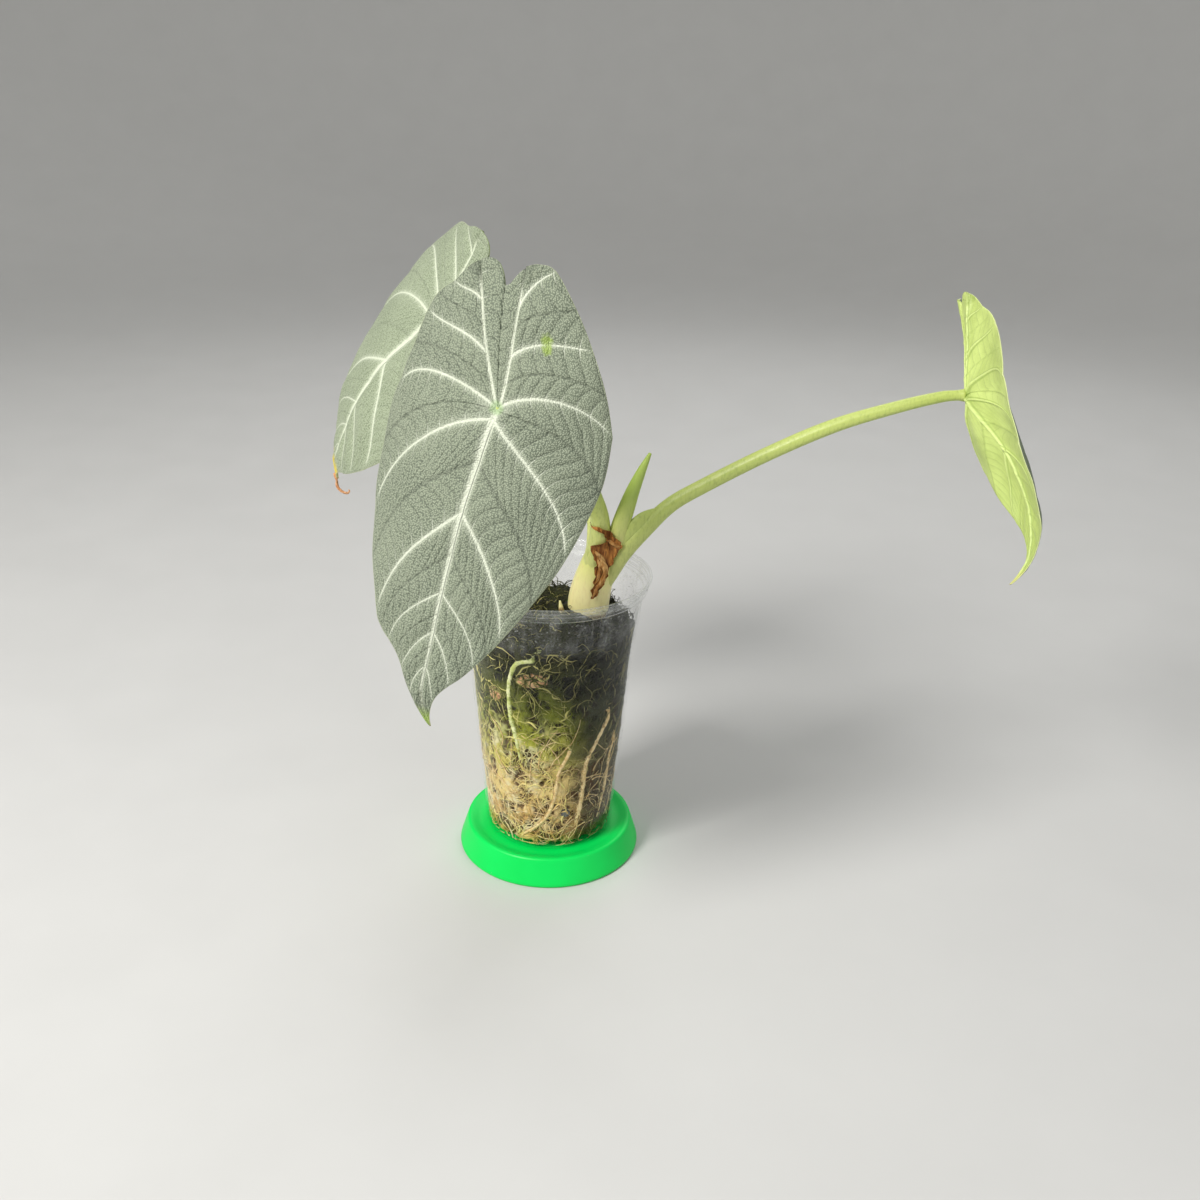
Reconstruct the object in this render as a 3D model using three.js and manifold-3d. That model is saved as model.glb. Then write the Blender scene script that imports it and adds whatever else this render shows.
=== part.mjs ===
// Potted maharani alocasia: three quilted leaves and a new rolled leaf,
// with roots and moss in a clear cup on a saucer.
// Sizes in millimetres, +Z up. The origin is on the table, on the pot's axis.
// The plant is seen from -Y: +X is to the right and +Y runs away from the viewer.

import * as THREE from 'three';
import { mergeVertices } from 'three/addons/utils/BufferGeometryUtils.js';
import Module from 'manifold-3d';

const wasm = await Module();
wasm.setup();

// Driving dimensions
const GAP = 0.3;
const SAUCER = {
  footRadius: 42.9, rimRadius: 39.2, height: 13.5, lip: 1.6, floorRadius: 37.2, floorHeight: 12,
};
const POT = {
  wall: 0.9, floor: 1.1, rimRadius: 45, rimHeight: 139.5, collarRadius: 43.4, collarHeight: 6.2,
};
const POT_FOOT = SAUCER.floorHeight + GAP;
// Outer radius of the cup's wall at each height
const POT_WALL = [[30.3, 14.6], [31, 28], [33.9, 56], [37.3, 100], [40.5, 125], [41.2, 132.5]];
const MOSS = { top: 117, tilt: 0.05, lump: 1.3, around: 36 };
const BLADE = { thickness: 0.8, quilt: 0.9, rib: 0.9, midrib: 1.7, ribWidth: 0.08 };
const SIDES = 10;

// Leaf outline: margin points of each half at row numbers, [row, across, along].
// Row 0 ends at the lobe's tip, row 3 starts at the junction with the stalk, row 9 is the leaf's tip.
const MARGIN = {
  right: [[0, 7, -46.5], [0.5, 12, -48.3], [1, 18, -47.3], [1.5, 26, -37], [2, 32, -26], [2.5, 37.3, -13],
    [3, 40.3, 0], [3.5, 43.3, 20], [4, 39, 45], [4.5, 32, 63], [5, 24, 79], [5.5, 20.5, 85], [6, 17, 90.5],
    [6.5, 13.5, 95.5], [7, 10, 99.5], [8, 4.5, 107], [9, 0, 117]],
  left: [[0, 10.6, -44.7], [0.5, 14.5, -42], [1, 20, -36.5], [1.5, 27.5, -31.5], [2, 33, -25],
    [2.5, 39.5, -12.5], [3, 45, 2], [3.5, 45.3, 25], [4, 41.5, 47.5], [4.5, 34.5, 66], [5, 27, 83],
    [5.5, 22.5, 88.3],
    [6, 18, 91.5], [6.5, 13.5, 95], [7, 10, 99], [8, 4.8, 107], [9, 0, 117]],
};
// Where each primary vein leaves the lobe vein or the midrib, [row, along]
const VEIN_START = [[0, -46], [1, -33], [2, -17], [3, 0], [4, 4], [5, 37.5], [6, 67], [7, 82], [8, 95],
  [9, 117]];
// Directions in which the veins leave and end, in degrees from straight across towards the tip
const VEIN_LEAVE = {
  right: [-75, -70, -50, -40, 38, 46, 40, 40, 45, 70],
  left: [-75, -55, -40, -25, 12, 50, 40, 40, 45, 70],
};
const VEIN_END = {
  right: [-75, -30, -5, 45, 80, 85, 85, 80, 80, 80],
  left: [-75, -35, -25, 45, 75, 85, 85, 80, 80, 80],
};
const LOBE_SPREAD = { right: 7, left: 10.5 };
const LOBE_POWER = { right: 0.6, left: 0.8 };
// How far the lobe's vein reaches
const LOBE_END = { right: 46, left: 44.8 };
// Inner edge of each lobe, from the notch to its vein: [part of the way across, part of the way along]
const NOTCH_EDGE = {
  right: [[0, 0], [0.27, 0.12], [0.5, 0.42], [0.75, 0.74], [1, 1]],
  left: [[0, 0], [0.1, 0.74], [0.25, 1.15], [0.5, 1.3], [0.75, 1.22], [1, 1]],
};
const LEAF = { lobe: 46, notch: 39, tip: 117, hookStart: 100, bowEnd: 60 };
const FOLD_WIDTH = 7;
// Width over which lobes of unequal length meet at the notch
const LOBE_BLEND = 5;
// Keeps a curl from being exactly zero
const CURL_FLOOR = 1e-7;

// Each leaf's place and bend. Curls are in 1/mm, positive where the margins bend back towards the stalk.
// Folds are in degrees, and raise a half towards the upper face. Fullness widens a half towards the tip.
const LEAVES = {
  leaf_front: {
    junction: [-14.2, -105, 239.1], facing: -16, tilt: 12, roll: 10, size: 1,
    width: { right: 1, left: 1 }, fullness: { right: 0, left: 0 },
    lobeLength: { right: 1, left: 1 }, lobeShift: -0.22, bow: -5, hook: 6,
    curlLobe: { right: 0.0125, left: 0.0143 }, curlTip: { right: 0.0125, left: 0.0143 },
    foldLobe: { right: 0, left: 0 }, foldTip: { right: 0, left: 0 },
    droop: [-4, 0], lobeBend: 4, tipBend: 0, color: 0x5f6e5c,
  },
  leaf_back: {
    junction: [-48.9, 5.4, 250.4], facing: -52, tilt: 24, roll: 36.5, size: 0.97,
    width: { right: 1.08, left: 1.21 }, fullness: { right: 0.5, left: 0 },
    lobeLength: { right: 0.72, left: 1 }, lobeShift: 0.28, bow: -8.9, hook: 0,
    curlLobe: { right: 0.024, left: 0.0086 }, curlTip: { right: 0.018, left: 0.0086 },
    foldLobe: { right: 0, left: 0 }, foldTip: { right: 0, left: 0 },
    droop: [3.5, -22.8], lobeBend: -10.2, tipBend: -2.3, color: 0x7f927a,
  },
  leaf_right: {
    junction: [170.4, -8.7, 225.9], facing: 80.8, tilt: 1.2, roll: 31.55, size: 0.693,
    width: { right: 0.8, left: 0.95 }, fullness: { right: -0.9, left: 0 },
    lobeLength: { right: 1.334, left: 1.334 }, lobeShift: 0.007, bow: -26.9, hook: -1.5,
    curlLobe: { right: 0.018, left: 0.01035 }, curlTip: { right: -0.024, left: 0.027 },
    foldLobe: { right: 16.5, left: 27.7 }, foldTip: { right: 4.35, left: 39.3 },
    droop: [88.1, -76.9], lobeBend: 2.35, tipBend: -1.3, color: 0x9fb06a,
  },
};

// Stalks: [x, y, z, radius] from the base to the end
const STALKS = {
  stem_base: [[16.6, 3, 106, 7.2], [16.4, 3, 114, 7.8], [16.6, 2.8, 122, 8.6], [17.2, 2.5, 130, 9.3],
    [18.8, 2.3, 138, 9], [20.6, 2, 146, 8.4], [21.8, 2, 151, 6.5]],
  stalk_front: [[19.6, 0.8, 146, 5.6], [21, 0, 157, 4.7], [20.6, -1.5, 166, 4.1], [18.5, -4.5, 174, 4],
    [13, -14, 190, 3.6], [3, -40, 214, 3.4], [-6, -72, 231, 3.1]],
  stalk_back: [[19.2, 7, 145, 4.4], [18.6, 9.3, 160, 3.5], [16, 11.5, 180, 3.4], [2, 14.5, 212, 3.2],
    [-22, 15, 236, 2.9]],
  stalk_right: [[25, 1, 138, 4.1], [31, 0.5, 149, 4.2], [40.2, 0, 160.4, 3.9], [51.2, 0, 172, 3.4],
    [63.3, -0.5, 180.2, 3.15], [91.2, -3, 197.0, 3.1], [118.2, -5.5, 210.9, 2.9], [144, -7.6, 220.3, 2.6]],
  spear: [[26, 1, 146, 3.3], [28.4, 0.8, 155, 3.6], [30.3, 0.2, 164, 3.5], [34, 0, 176.5, 2.85],
    [38, 0, 186.5, 1.9], [41.2, 0, 193.8, 0.9]],
};
const SHEATH_WING = [[31.5, -4, 157, 1.6], [35.5, -3.8, 163, 2.6], [40.5, -2.8, 168, 2.4],
  [45, -1.2, 170.6, 1.2]];
const STALK_REACH = { length: 10, radius: 2.3 };

// Roots that press against the cup: radius, height where they leave the stem,
// and path along the wall as [degrees around the axis, height]
const ROOTS = {
  root_1: {
    radius: 1.1, start: 113,
    path: [[-100, 112.5], [-108, 111.2], [-113, 108.5], [-118, 100], [-119.3, 90], [-118.3, 80.5],
      [-115, 72.3], [-112, 60]],
  },
  root_2: {
    radius: 0.9, start: 105, path: [[-72, 66], [-80, 55], [-83, 42], [-89, 31], [-101, 23.5], [-113, 18]],
  },
  root_3: {
    radius: 1.3, start: 111, path: [[-37, 79.5], [-46, 70], [-57, 57.5], [-58, 46], [-60, 31], [-67, 19]],
  },
  root_4: { radius: 0.9, start: 106, path: [[-26, 66], [-30, 57], [-31, 40], [-37, 23]] },
  root_5: { radius: 1.0, start: 109, path: [[70, 84], [82, 70], [88, 52], [80, 36], [66, 24]] },
  root_6: { radius: 0.9, start: 107, path: [[165, 92], [158, 76], [150, 60], [156, 42], [168, 30]] },
};
const ROOT_APPROACH = { rise: 7, inset: 4 };
const CHIP_DENT = 0.07;
const CHIPS = {
  bark_chip_1: { angle: -101, height: 102, size: [13, 5, 7], turn: 12 },
  bark_chip_2: { angle: -134, height: 90.5, size: [7, 4.5, 6], turn: -20 },
  pebble: { angle: -73, height: 31, size: [4, 3.2, 4], turn: 8 },
};

// Curves through tables

function slopeAt(table, i, column) {
  const before = table[Math.max(i - 1, 0)];
  const after = table[Math.min(i + 1, table.length - 1)];
  return (after[column] - before[column]) / (after[0] - before[0]);
}

// Smooth curve through a table's column, with the first column as the parameter
function smooth(table, value, column) {
  let i = 0;
  while (i < table.length - 2 && value >= table[i + 1][0]) i += 1;
  const step = table[i + 1][0] - table[i][0];
  const q = (value - table[i][0]) / step;
  const q2 = q * q;
  const q3 = q2 * q;
  return (2 * q3 - 3 * q2 + 1) * table[i][column] + (q3 - 2 * q2 + q) * step * slopeAt(table, i, column)
    + (3 * q2 - 2 * q3) * table[i + 1][column] + (q3 - q2) * step * slopeAt(table, i + 1, column);
}

function linear(list, value) {
  const i = Math.min(Math.floor(value), list.length - 2);
  return list[i] + (list[i + 1] - list[i]) * (value - i);
}

const radians = THREE.MathUtils.degToRad;

// Leaf blade

function lobeVein(side, along) {
  return LOBE_SPREAD[side] * Math.max(-along / LEAF.lobe, 0) ** LOBE_POWER[side];
}

// Point of one half of the flat leaf: row 0 to 9, t 0 at the spine and 1 at the margin
function rowPoint(side, row, t) {
  const start = smooth(VEIN_START, row, 1);
  const startAlong = start < 0 ? start * LOBE_END[side] / LEAF.lobe : start;
  const startAcross = lobeVein(side, startAlong);
  const endAcross = smooth(MARGIN[side], row, 1);
  const endAlong = smooth(MARGIN[side], row, 2);
  const reach = 0.35 * Math.hypot(endAcross - startAcross, endAlong - startAlong);
  const leave = radians(linear(VEIN_LEAVE[side], row));
  const arrive = radians(linear(VEIN_END[side], row));
  const curve = new THREE.CubicBezierCurve(
    new THREE.Vector2(startAcross, startAlong),
    new THREE.Vector2(startAcross + reach * Math.cos(leave), startAlong + reach * Math.sin(leave)),
    new THREE.Vector2(endAcross - reach * Math.cos(arrive), endAlong - reach * Math.sin(arrive)),
    new THREE.Vector2(endAcross, endAlong),
  );
  return curve.getPoint(t);
}

// Point between the two lobe veins: q is 0 at the junction and 1 at the notch,
// r is 0 in the middle and 1 at the vein
function wedgePoint(side, q, r) {
  const along = -q * (LEAF.notch + (LOBE_END[side] - LEAF.notch) * smooth(NOTCH_EDGE[side], r, 1));
  return new THREE.Vector2(lobeVein(side, -LOBE_END[side] * q) * r, along);
}

function leafAxes(leaf) {
  const facing = radians(leaf.facing);
  const tilt = radians(leaf.tilt);
  const roll = radians(leaf.roll);
  const out = new THREE.Vector3(
    Math.sin(facing) * Math.cos(tilt), -Math.cos(facing) * Math.cos(tilt), Math.sin(tilt));
  const down = new THREE.Vector3(0, 0, -1).addScaledVector(out, out.z).normalize();
  const side = new THREE.Vector3().crossVectors(out, down);
  const along = down.clone().multiplyScalar(Math.cos(roll)).addScaledVector(side, -Math.sin(roll));
  const across = side.clone().multiplyScalar(Math.cos(roll)).addScaledVector(down, Math.sin(roll));
  return { out, along, across, junction: new THREE.Vector3(...leaf.junction) };
}

// Place of a flat point on the bent leaf, raised by lift towards the upper face
function leafPoint(leaf, axes, side, flat, lift) {
  const sign = side === 'right' ? 1 : -1;
  const offCentre = 1 - Math.exp(-((flat.x / LOBE_BLEND) ** 2));
  const lobeLength = THREE.MathUtils.lerp(leaf.lobeLength.left, leaf.lobeLength[side], offCentre);
  const along = flat.y < 0 ? flat.y * lobeLength : flat.y;
  const back = Math.max(-along, 0);
  const front = Math.max(along, 0);
  const bow = leaf.bow * Math.sin(Math.PI / 2 * Math.min(front / LEAF.bowEnd, 1));
  const hook = leaf.hook * Math.max((along - LEAF.hookStart) / (LEAF.tip - LEAF.hookStart), 0) ** 2;
  const t = front / LEAF.tip;
  const width = leaf.width[side] * (1 + leaf.fullness[side] * t ** 3);
  const u = leaf.size * (sign * flat.x * width + leaf.lobeShift * back + bow + hook);
  const half = u < 0 ? 'left' : 'right';
  const blend = THREE.MathUtils.clamp((along + 30) / 90, 0, 1);
  const curl = THREE.MathUtils.lerp(leaf.curlLobe[half], leaf.curlTip[half], blend) + CURL_FLOOR;
  const fold = THREE.MathUtils.lerp(leaf.foldLobe[half], leaf.foldTip[half], blend);
  const turn = radians(Math.sign(u) * fold) * (1 - Math.exp(-((u / FOLD_WIDTH) ** 2)));
  const q = back / (LEAF.lobe + 1);
  const bend = leaf.droop[0] * t * t + leaf.droop[1] * t ** 3 - leaf.lobeBend * q * q
    + 25 * leaf.tipBend * Math.max(t - 0.8, 0) ** 2;
  const section = new THREE.Vector2(Math.sin(curl * u) / curl, (Math.cos(curl * u) - 1) / curl)
    .add(new THREE.Vector2(Math.sin(curl * u), Math.cos(curl * u)).multiplyScalar(lift))
    .rotateAround(new THREE.Vector2(), turn);
  return axes.junction.clone()
    .addScaledVector(axes.across, section.x)
    .addScaledVector(axes.along, leaf.size * along)
    .addScaledVector(axes.out, section.y + bend);
}

function quilt(row, t) {
  const between = Math.sin(Math.PI * (row % 1)) ** 2;
  return BLADE.quilt * between * Math.sin(Math.PI * Math.min(t * 1.1, 1)) ** 0.8;
}

function ribDepth(row, t, along) {
  const nearVein = Math.min(row % 1, 1 - row % 1) < 0.01 ? 1 : 0;
  const taper = 1 - 0.75 * Math.max(along, 0) / LEAF.tip;
  const spine = t < 0.01 ? BLADE.midrib * taper : 0;
  return Math.max(spine, nearVein * BLADE.rib * (1 - 0.8 * t) * taper);
}

function leafRows() {
  const rows = [];
  for (let vein = 0; vein < 9; vein += 1) {
    rows.push(vein, vein + BLADE.ribWidth, vein + 0.35, vein + 0.65, vein + 1 - BLADE.ribWidth);
  }
  rows.push(9);
  return rows;
}

// Closed thin shell of one leaf, split alike on both faces
function leafGeometry(leaf) {
  const axes = leafAxes(leaf);
  const index = new Map();
  const upper = [];
  const lower = [];
  const vertex = (side, flat, lift, rib) => {
    const middle = flat.x < 1e-4;
    const key = `${(middle ? 0 : flat.x).toFixed(3)},${flat.y.toFixed(3)},${middle ? '' : side}`;
    if (!index.has(key)) {
      index.set(key, upper.length);
      upper.push(leafPoint(leaf, axes, side, flat, lift * leaf.size + BLADE.thickness / 2));
      lower.push(leafPoint(leaf, axes, side, flat, (lift - rib) * leaf.size - BLADE.thickness / 2));
    }
    return index.get(key);
  };
  const rows = leafRows();
  const columns = [0, 0.06, 0.3, 0.64, 1];
  const triangles = [];
  const patch = (grid, flip) => {
    for (let i = 0; i + 1 < grid.length; i += 1) {
      for (let j = 0; j + 1 < grid[i].length; j += 1) {
        const corners = [grid[i][j], grid[i][j + 1], grid[i + 1][j + 1], grid[i + 1][j]];
        for (const [a, b, c] of [[0, 1, 2], [0, 2, 3]]) {
          const face = [corners[a], corners[b], corners[c]];
          if (new Set(face).size === 3) triangles.push(flip ? face.reverse() : face);
        }
      }
    }
  };
  for (const side of ['right', 'left']) {
    patch(rows.map((row) => columns.map((t) => {
      const flat = rowPoint(side, row, t);
      return vertex(side, flat, quilt(row, t), ribDepth(row, t, flat.y));
    })), side === 'right');
    const wedge = rows.filter((row) => row <= 3).map((row) => {
      const q = -smooth(VEIN_START, row, 1) / LEAF.lobe;
      return [0, 0.12, 0.4, 0.75, 1].map((r) => {
        const flat = wedgePoint(side, q, r);
        const rib = r === 1 ? ribDepth(row, 0, flat.y) : 0;
        return vertex(side, flat, -BLADE.quilt * 0.6 * (1 - r) * q, rib);
      });
    });
    patch(wedge, side === 'right');
  }
  return shell(upper, lower, triangles);
}

// Joins two matching faces and the wall round their open edge into one closed mesh
function shell(upper, lower, triangles) {
  const edges = new Map();
  for (const [a, b, c] of triangles) {
    for (const [from, to] of [[a, b], [b, c], [c, a]]) {
      if (edges.has(`${to},${from}`)) edges.delete(`${to},${from}`);
      else edges.set(`${from},${to}`, [from, to]);
    }
  }
  const count = upper.length;
  const faces = triangles.map((face) => [...face]);
  for (const [a, b, c] of triangles) faces.push([c + count, b + count, a + count]);
  for (const [from, to] of edges.values()) {
    faces.push([to, from, from + count], [to, from + count, to + count]);
  }
  return meshFrom([...upper, ...lower], faces);
}

function meshFrom(points, faces) {
  const geometry = new THREE.BufferGeometry();
  const coordinates = points.flatMap((p) => [p.x, p.y, p.z]);
  geometry.setAttribute('position', new THREE.Float32BufferAttribute(coordinates, 3));
  geometry.setIndex(faces.flat());
  return geometry;
}

// Stalks, roots and the new leaf

// Round rod along a smooth path of [x, y, z, radius], with domed ends
function stalkGeometry(path, { grow = 0, flatness = 1, stepLength = 7, sides = SIDES } = {}) {
  const centre = new THREE.CatmullRomCurve3(path.map(([x, y, z]) => new THREE.Vector3(x, y, z)));
  const steps = Math.max(4, Math.round(centre.getLength() / stepLength));
  const radiusAt = (s) => {
    const place = s * (path.length - 1);
    const i = Math.min(Math.floor(place), path.length - 2);
    return path[i][3] + (path[i + 1][3] - path[i][3]) * (place - i);
  };
  const sections = [];
  for (let i = 0; i <= steps; i += 1) {
    const s = i / steps;
    sections.push({ point: centre.getPoint(s), tangent: centre.getTangent(s), radius: radiusAt(s) + grow });
  }
  const dome = (section, sign) => [0.35, 0.75].map((part) => ({
    point: section.point.clone().addScaledVector(section.tangent, sign * section.radius * 0.6 * part),
    tangent: section.tangent,
    radius: section.radius * Math.sqrt(1 - part * part),
  }));
  const rings = [...dome(sections[0], -1).reverse(), ...sections, ...dome(sections[steps], 1)];
  const points = [];
  for (const ring of rings) {
    const across = new THREE.Vector3(0, 1, 0).cross(ring.tangent).normalize();
    const up = new THREE.Vector3().crossVectors(ring.tangent, across);
    for (let k = 0; k < sides; k += 1) {
      const turn = (k / sides) * 2 * Math.PI;
      points.push(ring.point.clone()
        .addScaledVector(across, ring.radius * Math.cos(turn))
        .addScaledVector(up, ring.radius * Math.sin(turn) * flatness));
    }
  }
  const faces = [];
  for (let i = 0; i + 1 < rings.length; i += 1) {
    for (let k = 0; k < sides; k += 1) {
      const next = (k + 1) % sides;
      const [a, b] = [i * sides + k, i * sides + next];
      faces.push([a, b, b + sides], [a, b + sides, a + sides]);
    }
  }
  for (const [ring, sign] of [[0, -1], [rings.length - 1, 1]]) {
    const apex = points.length;
    const { point, tangent, radius } = rings[ring];
    points.push(point.clone().addScaledVector(tangent, sign * radius * 0.25));
    for (let k = 0; k < sides; k += 1) {
      const [a, b] = [ring * sides + k, ring * sides + (k + 1) % sides];
      faces.push(sign > 0 ? [a, b, apex] : [b, a, apex]);
    }
  }
  return meshFrom(points, faces);
}

// A leaf's stalk comes into the junction from behind and is cut along the blade
function stalkPath(name, leaf) {
  const { out, junction } = leafAxes(leaf);
  const last = STALKS[name].at(-1);
  const reach = new THREE.Vector3(...last.slice(0, 3)).sub(junction).normalize();
  const entry = reach.lerp(out.clone().negate(), 0.5).normalize();
  const before = junction.clone().addScaledVector(entry, STALK_REACH.length);
  const beyond = junction.clone().addScaledVector(out, 1);
  return [...STALKS[name], [...before, STALK_REACH.radius], [...beyond, STALK_REACH.radius - 0.3]];
}

function bladeSlab(leaf) {
  const { out, along, across, junction } = leafAxes(leaf);
  const depth = 12;
  const slab = new THREE.BoxGeometry(40, 40, depth);
  const under = BLADE.thickness / 2 + BLADE.midrib + GAP;
  const centre = junction.clone().addScaledVector(out, depth / 2 - under);
  slab.applyMatrix4(new THREE.Matrix4().makeBasis(along, across, out).setPosition(centre));
  return slab;
}

// Cutting and joining

function solid(geometry) {
  const bare = geometry.clone();
  bare.deleteAttribute('normal');
  bare.deleteAttribute('uv');
  const merged = mergeVertices(bare, 1e-4);
  return new wasm.Manifold(new wasm.Mesh({
    numProp: 3,
    vertProperties: new Float32Array(merged.attributes.position.array),
    triVerts: new Uint32Array(merged.index.array),
  }));
}

function geometryOf(body) {
  const mesh = body.getMesh();
  const geometry = new THREE.BufferGeometry();
  geometry.setAttribute('position', new THREE.BufferAttribute(mesh.vertProperties, 3));
  geometry.setIndex([...mesh.triVerts]);
  return geometry;
}

// Cuts a piece clear of its neighbours and drops any loose scrap
function cut(geometry, cutters) {
  const bodies = cutters.reduce((body, cutter) => body.subtract(solid(cutter)), solid(geometry)).decompose();
  return geometryOf(bodies.sort((a, b) => b.volume() - a.volume())[0]);
}

function join(geometries) {
  return geometryOf(geometries.map(solid).reduce((body, next) => body.add(next)));
}

// Pot, saucer and moss

function wallRadius(height) {
  const wall = POT_WALL.map(([radius, z]) => [z, radius]);
  const z = THREE.MathUtils.clamp(height, wall[0][0], wall.at(-1)[0]);
  let i = 0;
  while (i < wall.length - 2 && z >= wall[i + 1][0]) i += 1;
  return wall[i][1] + (wall[i + 1][1] - wall[i][1]) * (z - wall[i][0]) / (wall[i + 1][0] - wall[i][0]);
}

function lathe(profile, segments = 48) {
  const points = profile.map(([radius, z]) => new THREE.Vector2(radius, z));
  const geometry = new THREE.LatheGeometry(points, segments);
  geometry.rotateX(Math.PI / 2);
  return geometry;
}

function saucerGeometry() {
  const { footRadius, rimRadius, height, lip, floorRadius, floorHeight } = SAUCER;
  return lathe([[0, 0], [footRadius - 1.2, 0], [footRadius - 0.3, 0.4], [footRadius, 1.3],
    [footRadius - 1, 4.2], [footRadius - 2, 7.8], [rimRadius + 0.5, 11], [rimRadius, height - 0.5],
    [rimRadius - 0.5, height], [rimRadius - lip, height], [floorRadius, floorHeight + 0.2],
    [floorRadius - 0.4, floorHeight], [0, floorHeight]], 48);
}

function potGeometry() {
  const { wall, floor, rimRadius, rimHeight, collarRadius, collarHeight } = POT;
  const collarFoot = rimHeight - collarHeight;
  const foot = POT_WALL[0][0];
  const outside = [[0, POT_FOOT], [foot - 1.6, POT_FOOT], [foot - 0.5, POT_FOOT + 0.8], ...POT_WALL];
  const collar = [[collarRadius, collarFoot], [collarRadius + 0.2, collarFoot + 2.2],
    [collarRadius - 0.1, collarFoot + 2.8], [collarRadius + 0.9, collarFoot + 3.5],
    [rimRadius - 0.5, rimHeight - 1.3], [rimRadius, rimHeight - 0.8], [rimRadius - 0.3, rimHeight],
    [rimRadius - 1.3, rimHeight], [rimRadius - 1.7, collarFoot + 3.4], [collarRadius - 1.1, collarFoot + 2.6],
    [collarRadius - 1.2, collarFoot + 1]];
  const inside = POT_WALL.map(([radius, z]) => [radius - wall, z + 0.2]).reverse();
  return lathe([...outside, ...collar, ...inside, [foot - 1.8, POT_FOOT + floor], [0, POT_FOOT + floor]], 44);
}

function mossHeight(x, y) {
  return MOSS.top + MOSS.tilt * y - 0.03 * x + MOSS.lump * (
    Math.sin(0.11 * x + 0.8) * Math.cos(0.1 * y - 0.5) + 0.8 * Math.sin(0.24 * x + 0.2 * y)
    + 0.5 * Math.sin(0.41 * x - 0.37 * y + 1));
}

// Moss fills the cup: a lumpy top and a side that follows the wall
function mossGeometry() {
  const rings = [];
  const around = MOSS.around;
  const foot = POT_FOOT + POT.floor + GAP;
  const wallGap = POT.wall + GAP;
  const topRadius = wallRadius(MOSS.top) - wallGap - 0.4;
  for (const part of [0.18, 0.4, 0.6, 0.78, 0.92, 1]) {
    rings.push((turn) => {
      const [x, y] = [topRadius * part * Math.cos(turn), topRadius * part * Math.sin(turn)];
      const edge = part === 1 ? 1.5 : 0;
      return new THREE.Vector3(x, y, mossHeight(x, y) - edge);
    });
  }
  for (const z of [110, 100, 78, 56, 28, 16.5, foot]) {
    const inset = z === foot ? 1.8 : 0;
    const radius = wallRadius(z) - wallGap - 0.15 - inset;
    rings.push((turn) => new THREE.Vector3(radius * Math.cos(turn), radius * Math.sin(turn), z));
  }
  const turns = Array.from({ length: around }, (_, k) => 2 * Math.PI * k / around);
  const points = rings.flatMap((ring) => turns.map(ring));
  const faces = [];
  for (let i = 0; i + 1 < rings.length; i += 1) {
    for (let k = 0; k < around; k += 1) {
      const [a, b] = [i * around + k, i * around + (k + 1) % around];
      faces.push([a, a + around, b + around], [a, b + around, b]);
    }
  }
  const middle = points.length;
  points.push(new THREE.Vector3(0, 0, mossHeight(0, 0)), new THREE.Vector3(0, 0, foot));
  const lastRing = (rings.length - 1) * around;
  for (let k = 0; k < around; k += 1) {
    const next = (k + 1) % around;
    faces.push([middle, k, next], [middle + 1, lastRing + next, lastRing + k]);
  }
  return meshFrom(points, faces);
}

// A root leaves the foot of the stem, runs out to the wall and then follows it
function rootGeometry({ radius, start, path }, grow = 0) {
  const foot = STALKS.stem_base[0];
  const place = (degrees, z, inset) => {
    const r = wallRadius(z) - POT.wall - GAP - 0.2 - radius - inset;
    return [r * Math.cos(radians(degrees)), r * Math.sin(radians(degrees)), z, radius + grow];
  };
  const [firstAngle, firstHeight] = path[0];
  const rise = Math.min(ROOT_APPROACH.rise, start - firstHeight);
  const approach = place(firstAngle, firstHeight + rise, ROOT_APPROACH.inset);
  const heading = Math.atan2(approach[1] - foot[1], approach[0] - foot[0]);
  const root = [foot[0] + 4 * Math.cos(heading), foot[1] + 4 * Math.sin(heading), start, radius + grow];
  const alongWall = path.map(([degrees, z]) => place(degrees, z, 0));
  return stalkGeometry([root, approach, ...alongWall], { sides: 6, stepLength: 9 });
}

// Breaks a block's edges and leaves its faces uneven. It stays inside the block.
function roughen(block) {
  block.computeBoundingBox();
  const half = block.boundingBox.max;
  const position = block.getAttribute('position');
  for (let i = 0; i < position.count; i += 1) {
    const point = new THREE.Vector3().fromBufferAttribute(position, i);
    const part = point.clone().divide(half);
    const rounding = (part.x ** 4 + part.y ** 4 + part.z ** 4) ** 0.25;
    const dent = CHIP_DENT * (1 + Math.sin(5 * part.x + 3 * part.y + 4 * part.z + half.z));
    point.multiplyScalar((1 - dent) / rounding);
    position.setXYZ(i, point.x, point.y, point.z);
  }
}

// Chip of bark or stone against the wall. Its pocket in the moss, grown by the gap, opens towards the wall.
function chipGeometry({ angle, height, size, turn }, grow = 0) {
  const [wide, deep, tall] = size.map((side) => side + 2 * grow);
  const pocket = grow > 0;
  const opening = pocket ? 4 : 0;
  const chip = pocket ? new THREE.BoxGeometry(deep + opening, wide, tall)
    : new THREE.BoxGeometry(deep, wide, tall, 3, 6, 4);
  if (!pocket) roughen(chip);
  chip.rotateX(radians(turn));
  const corner = size[0] ** 2 / (8 * wallRadius(height));
  const radius = wallRadius(height) - POT.wall - GAP - corner - 0.6 - size[1] / 2;
  chip.translate(radius + opening / 2, 0, 0);
  chip.rotateZ(radians(angle));
  chip.translate(0, 0, height);
  return pocket ? chip : geometryOf(solid(chip));
}

// Dry sheath

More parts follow.
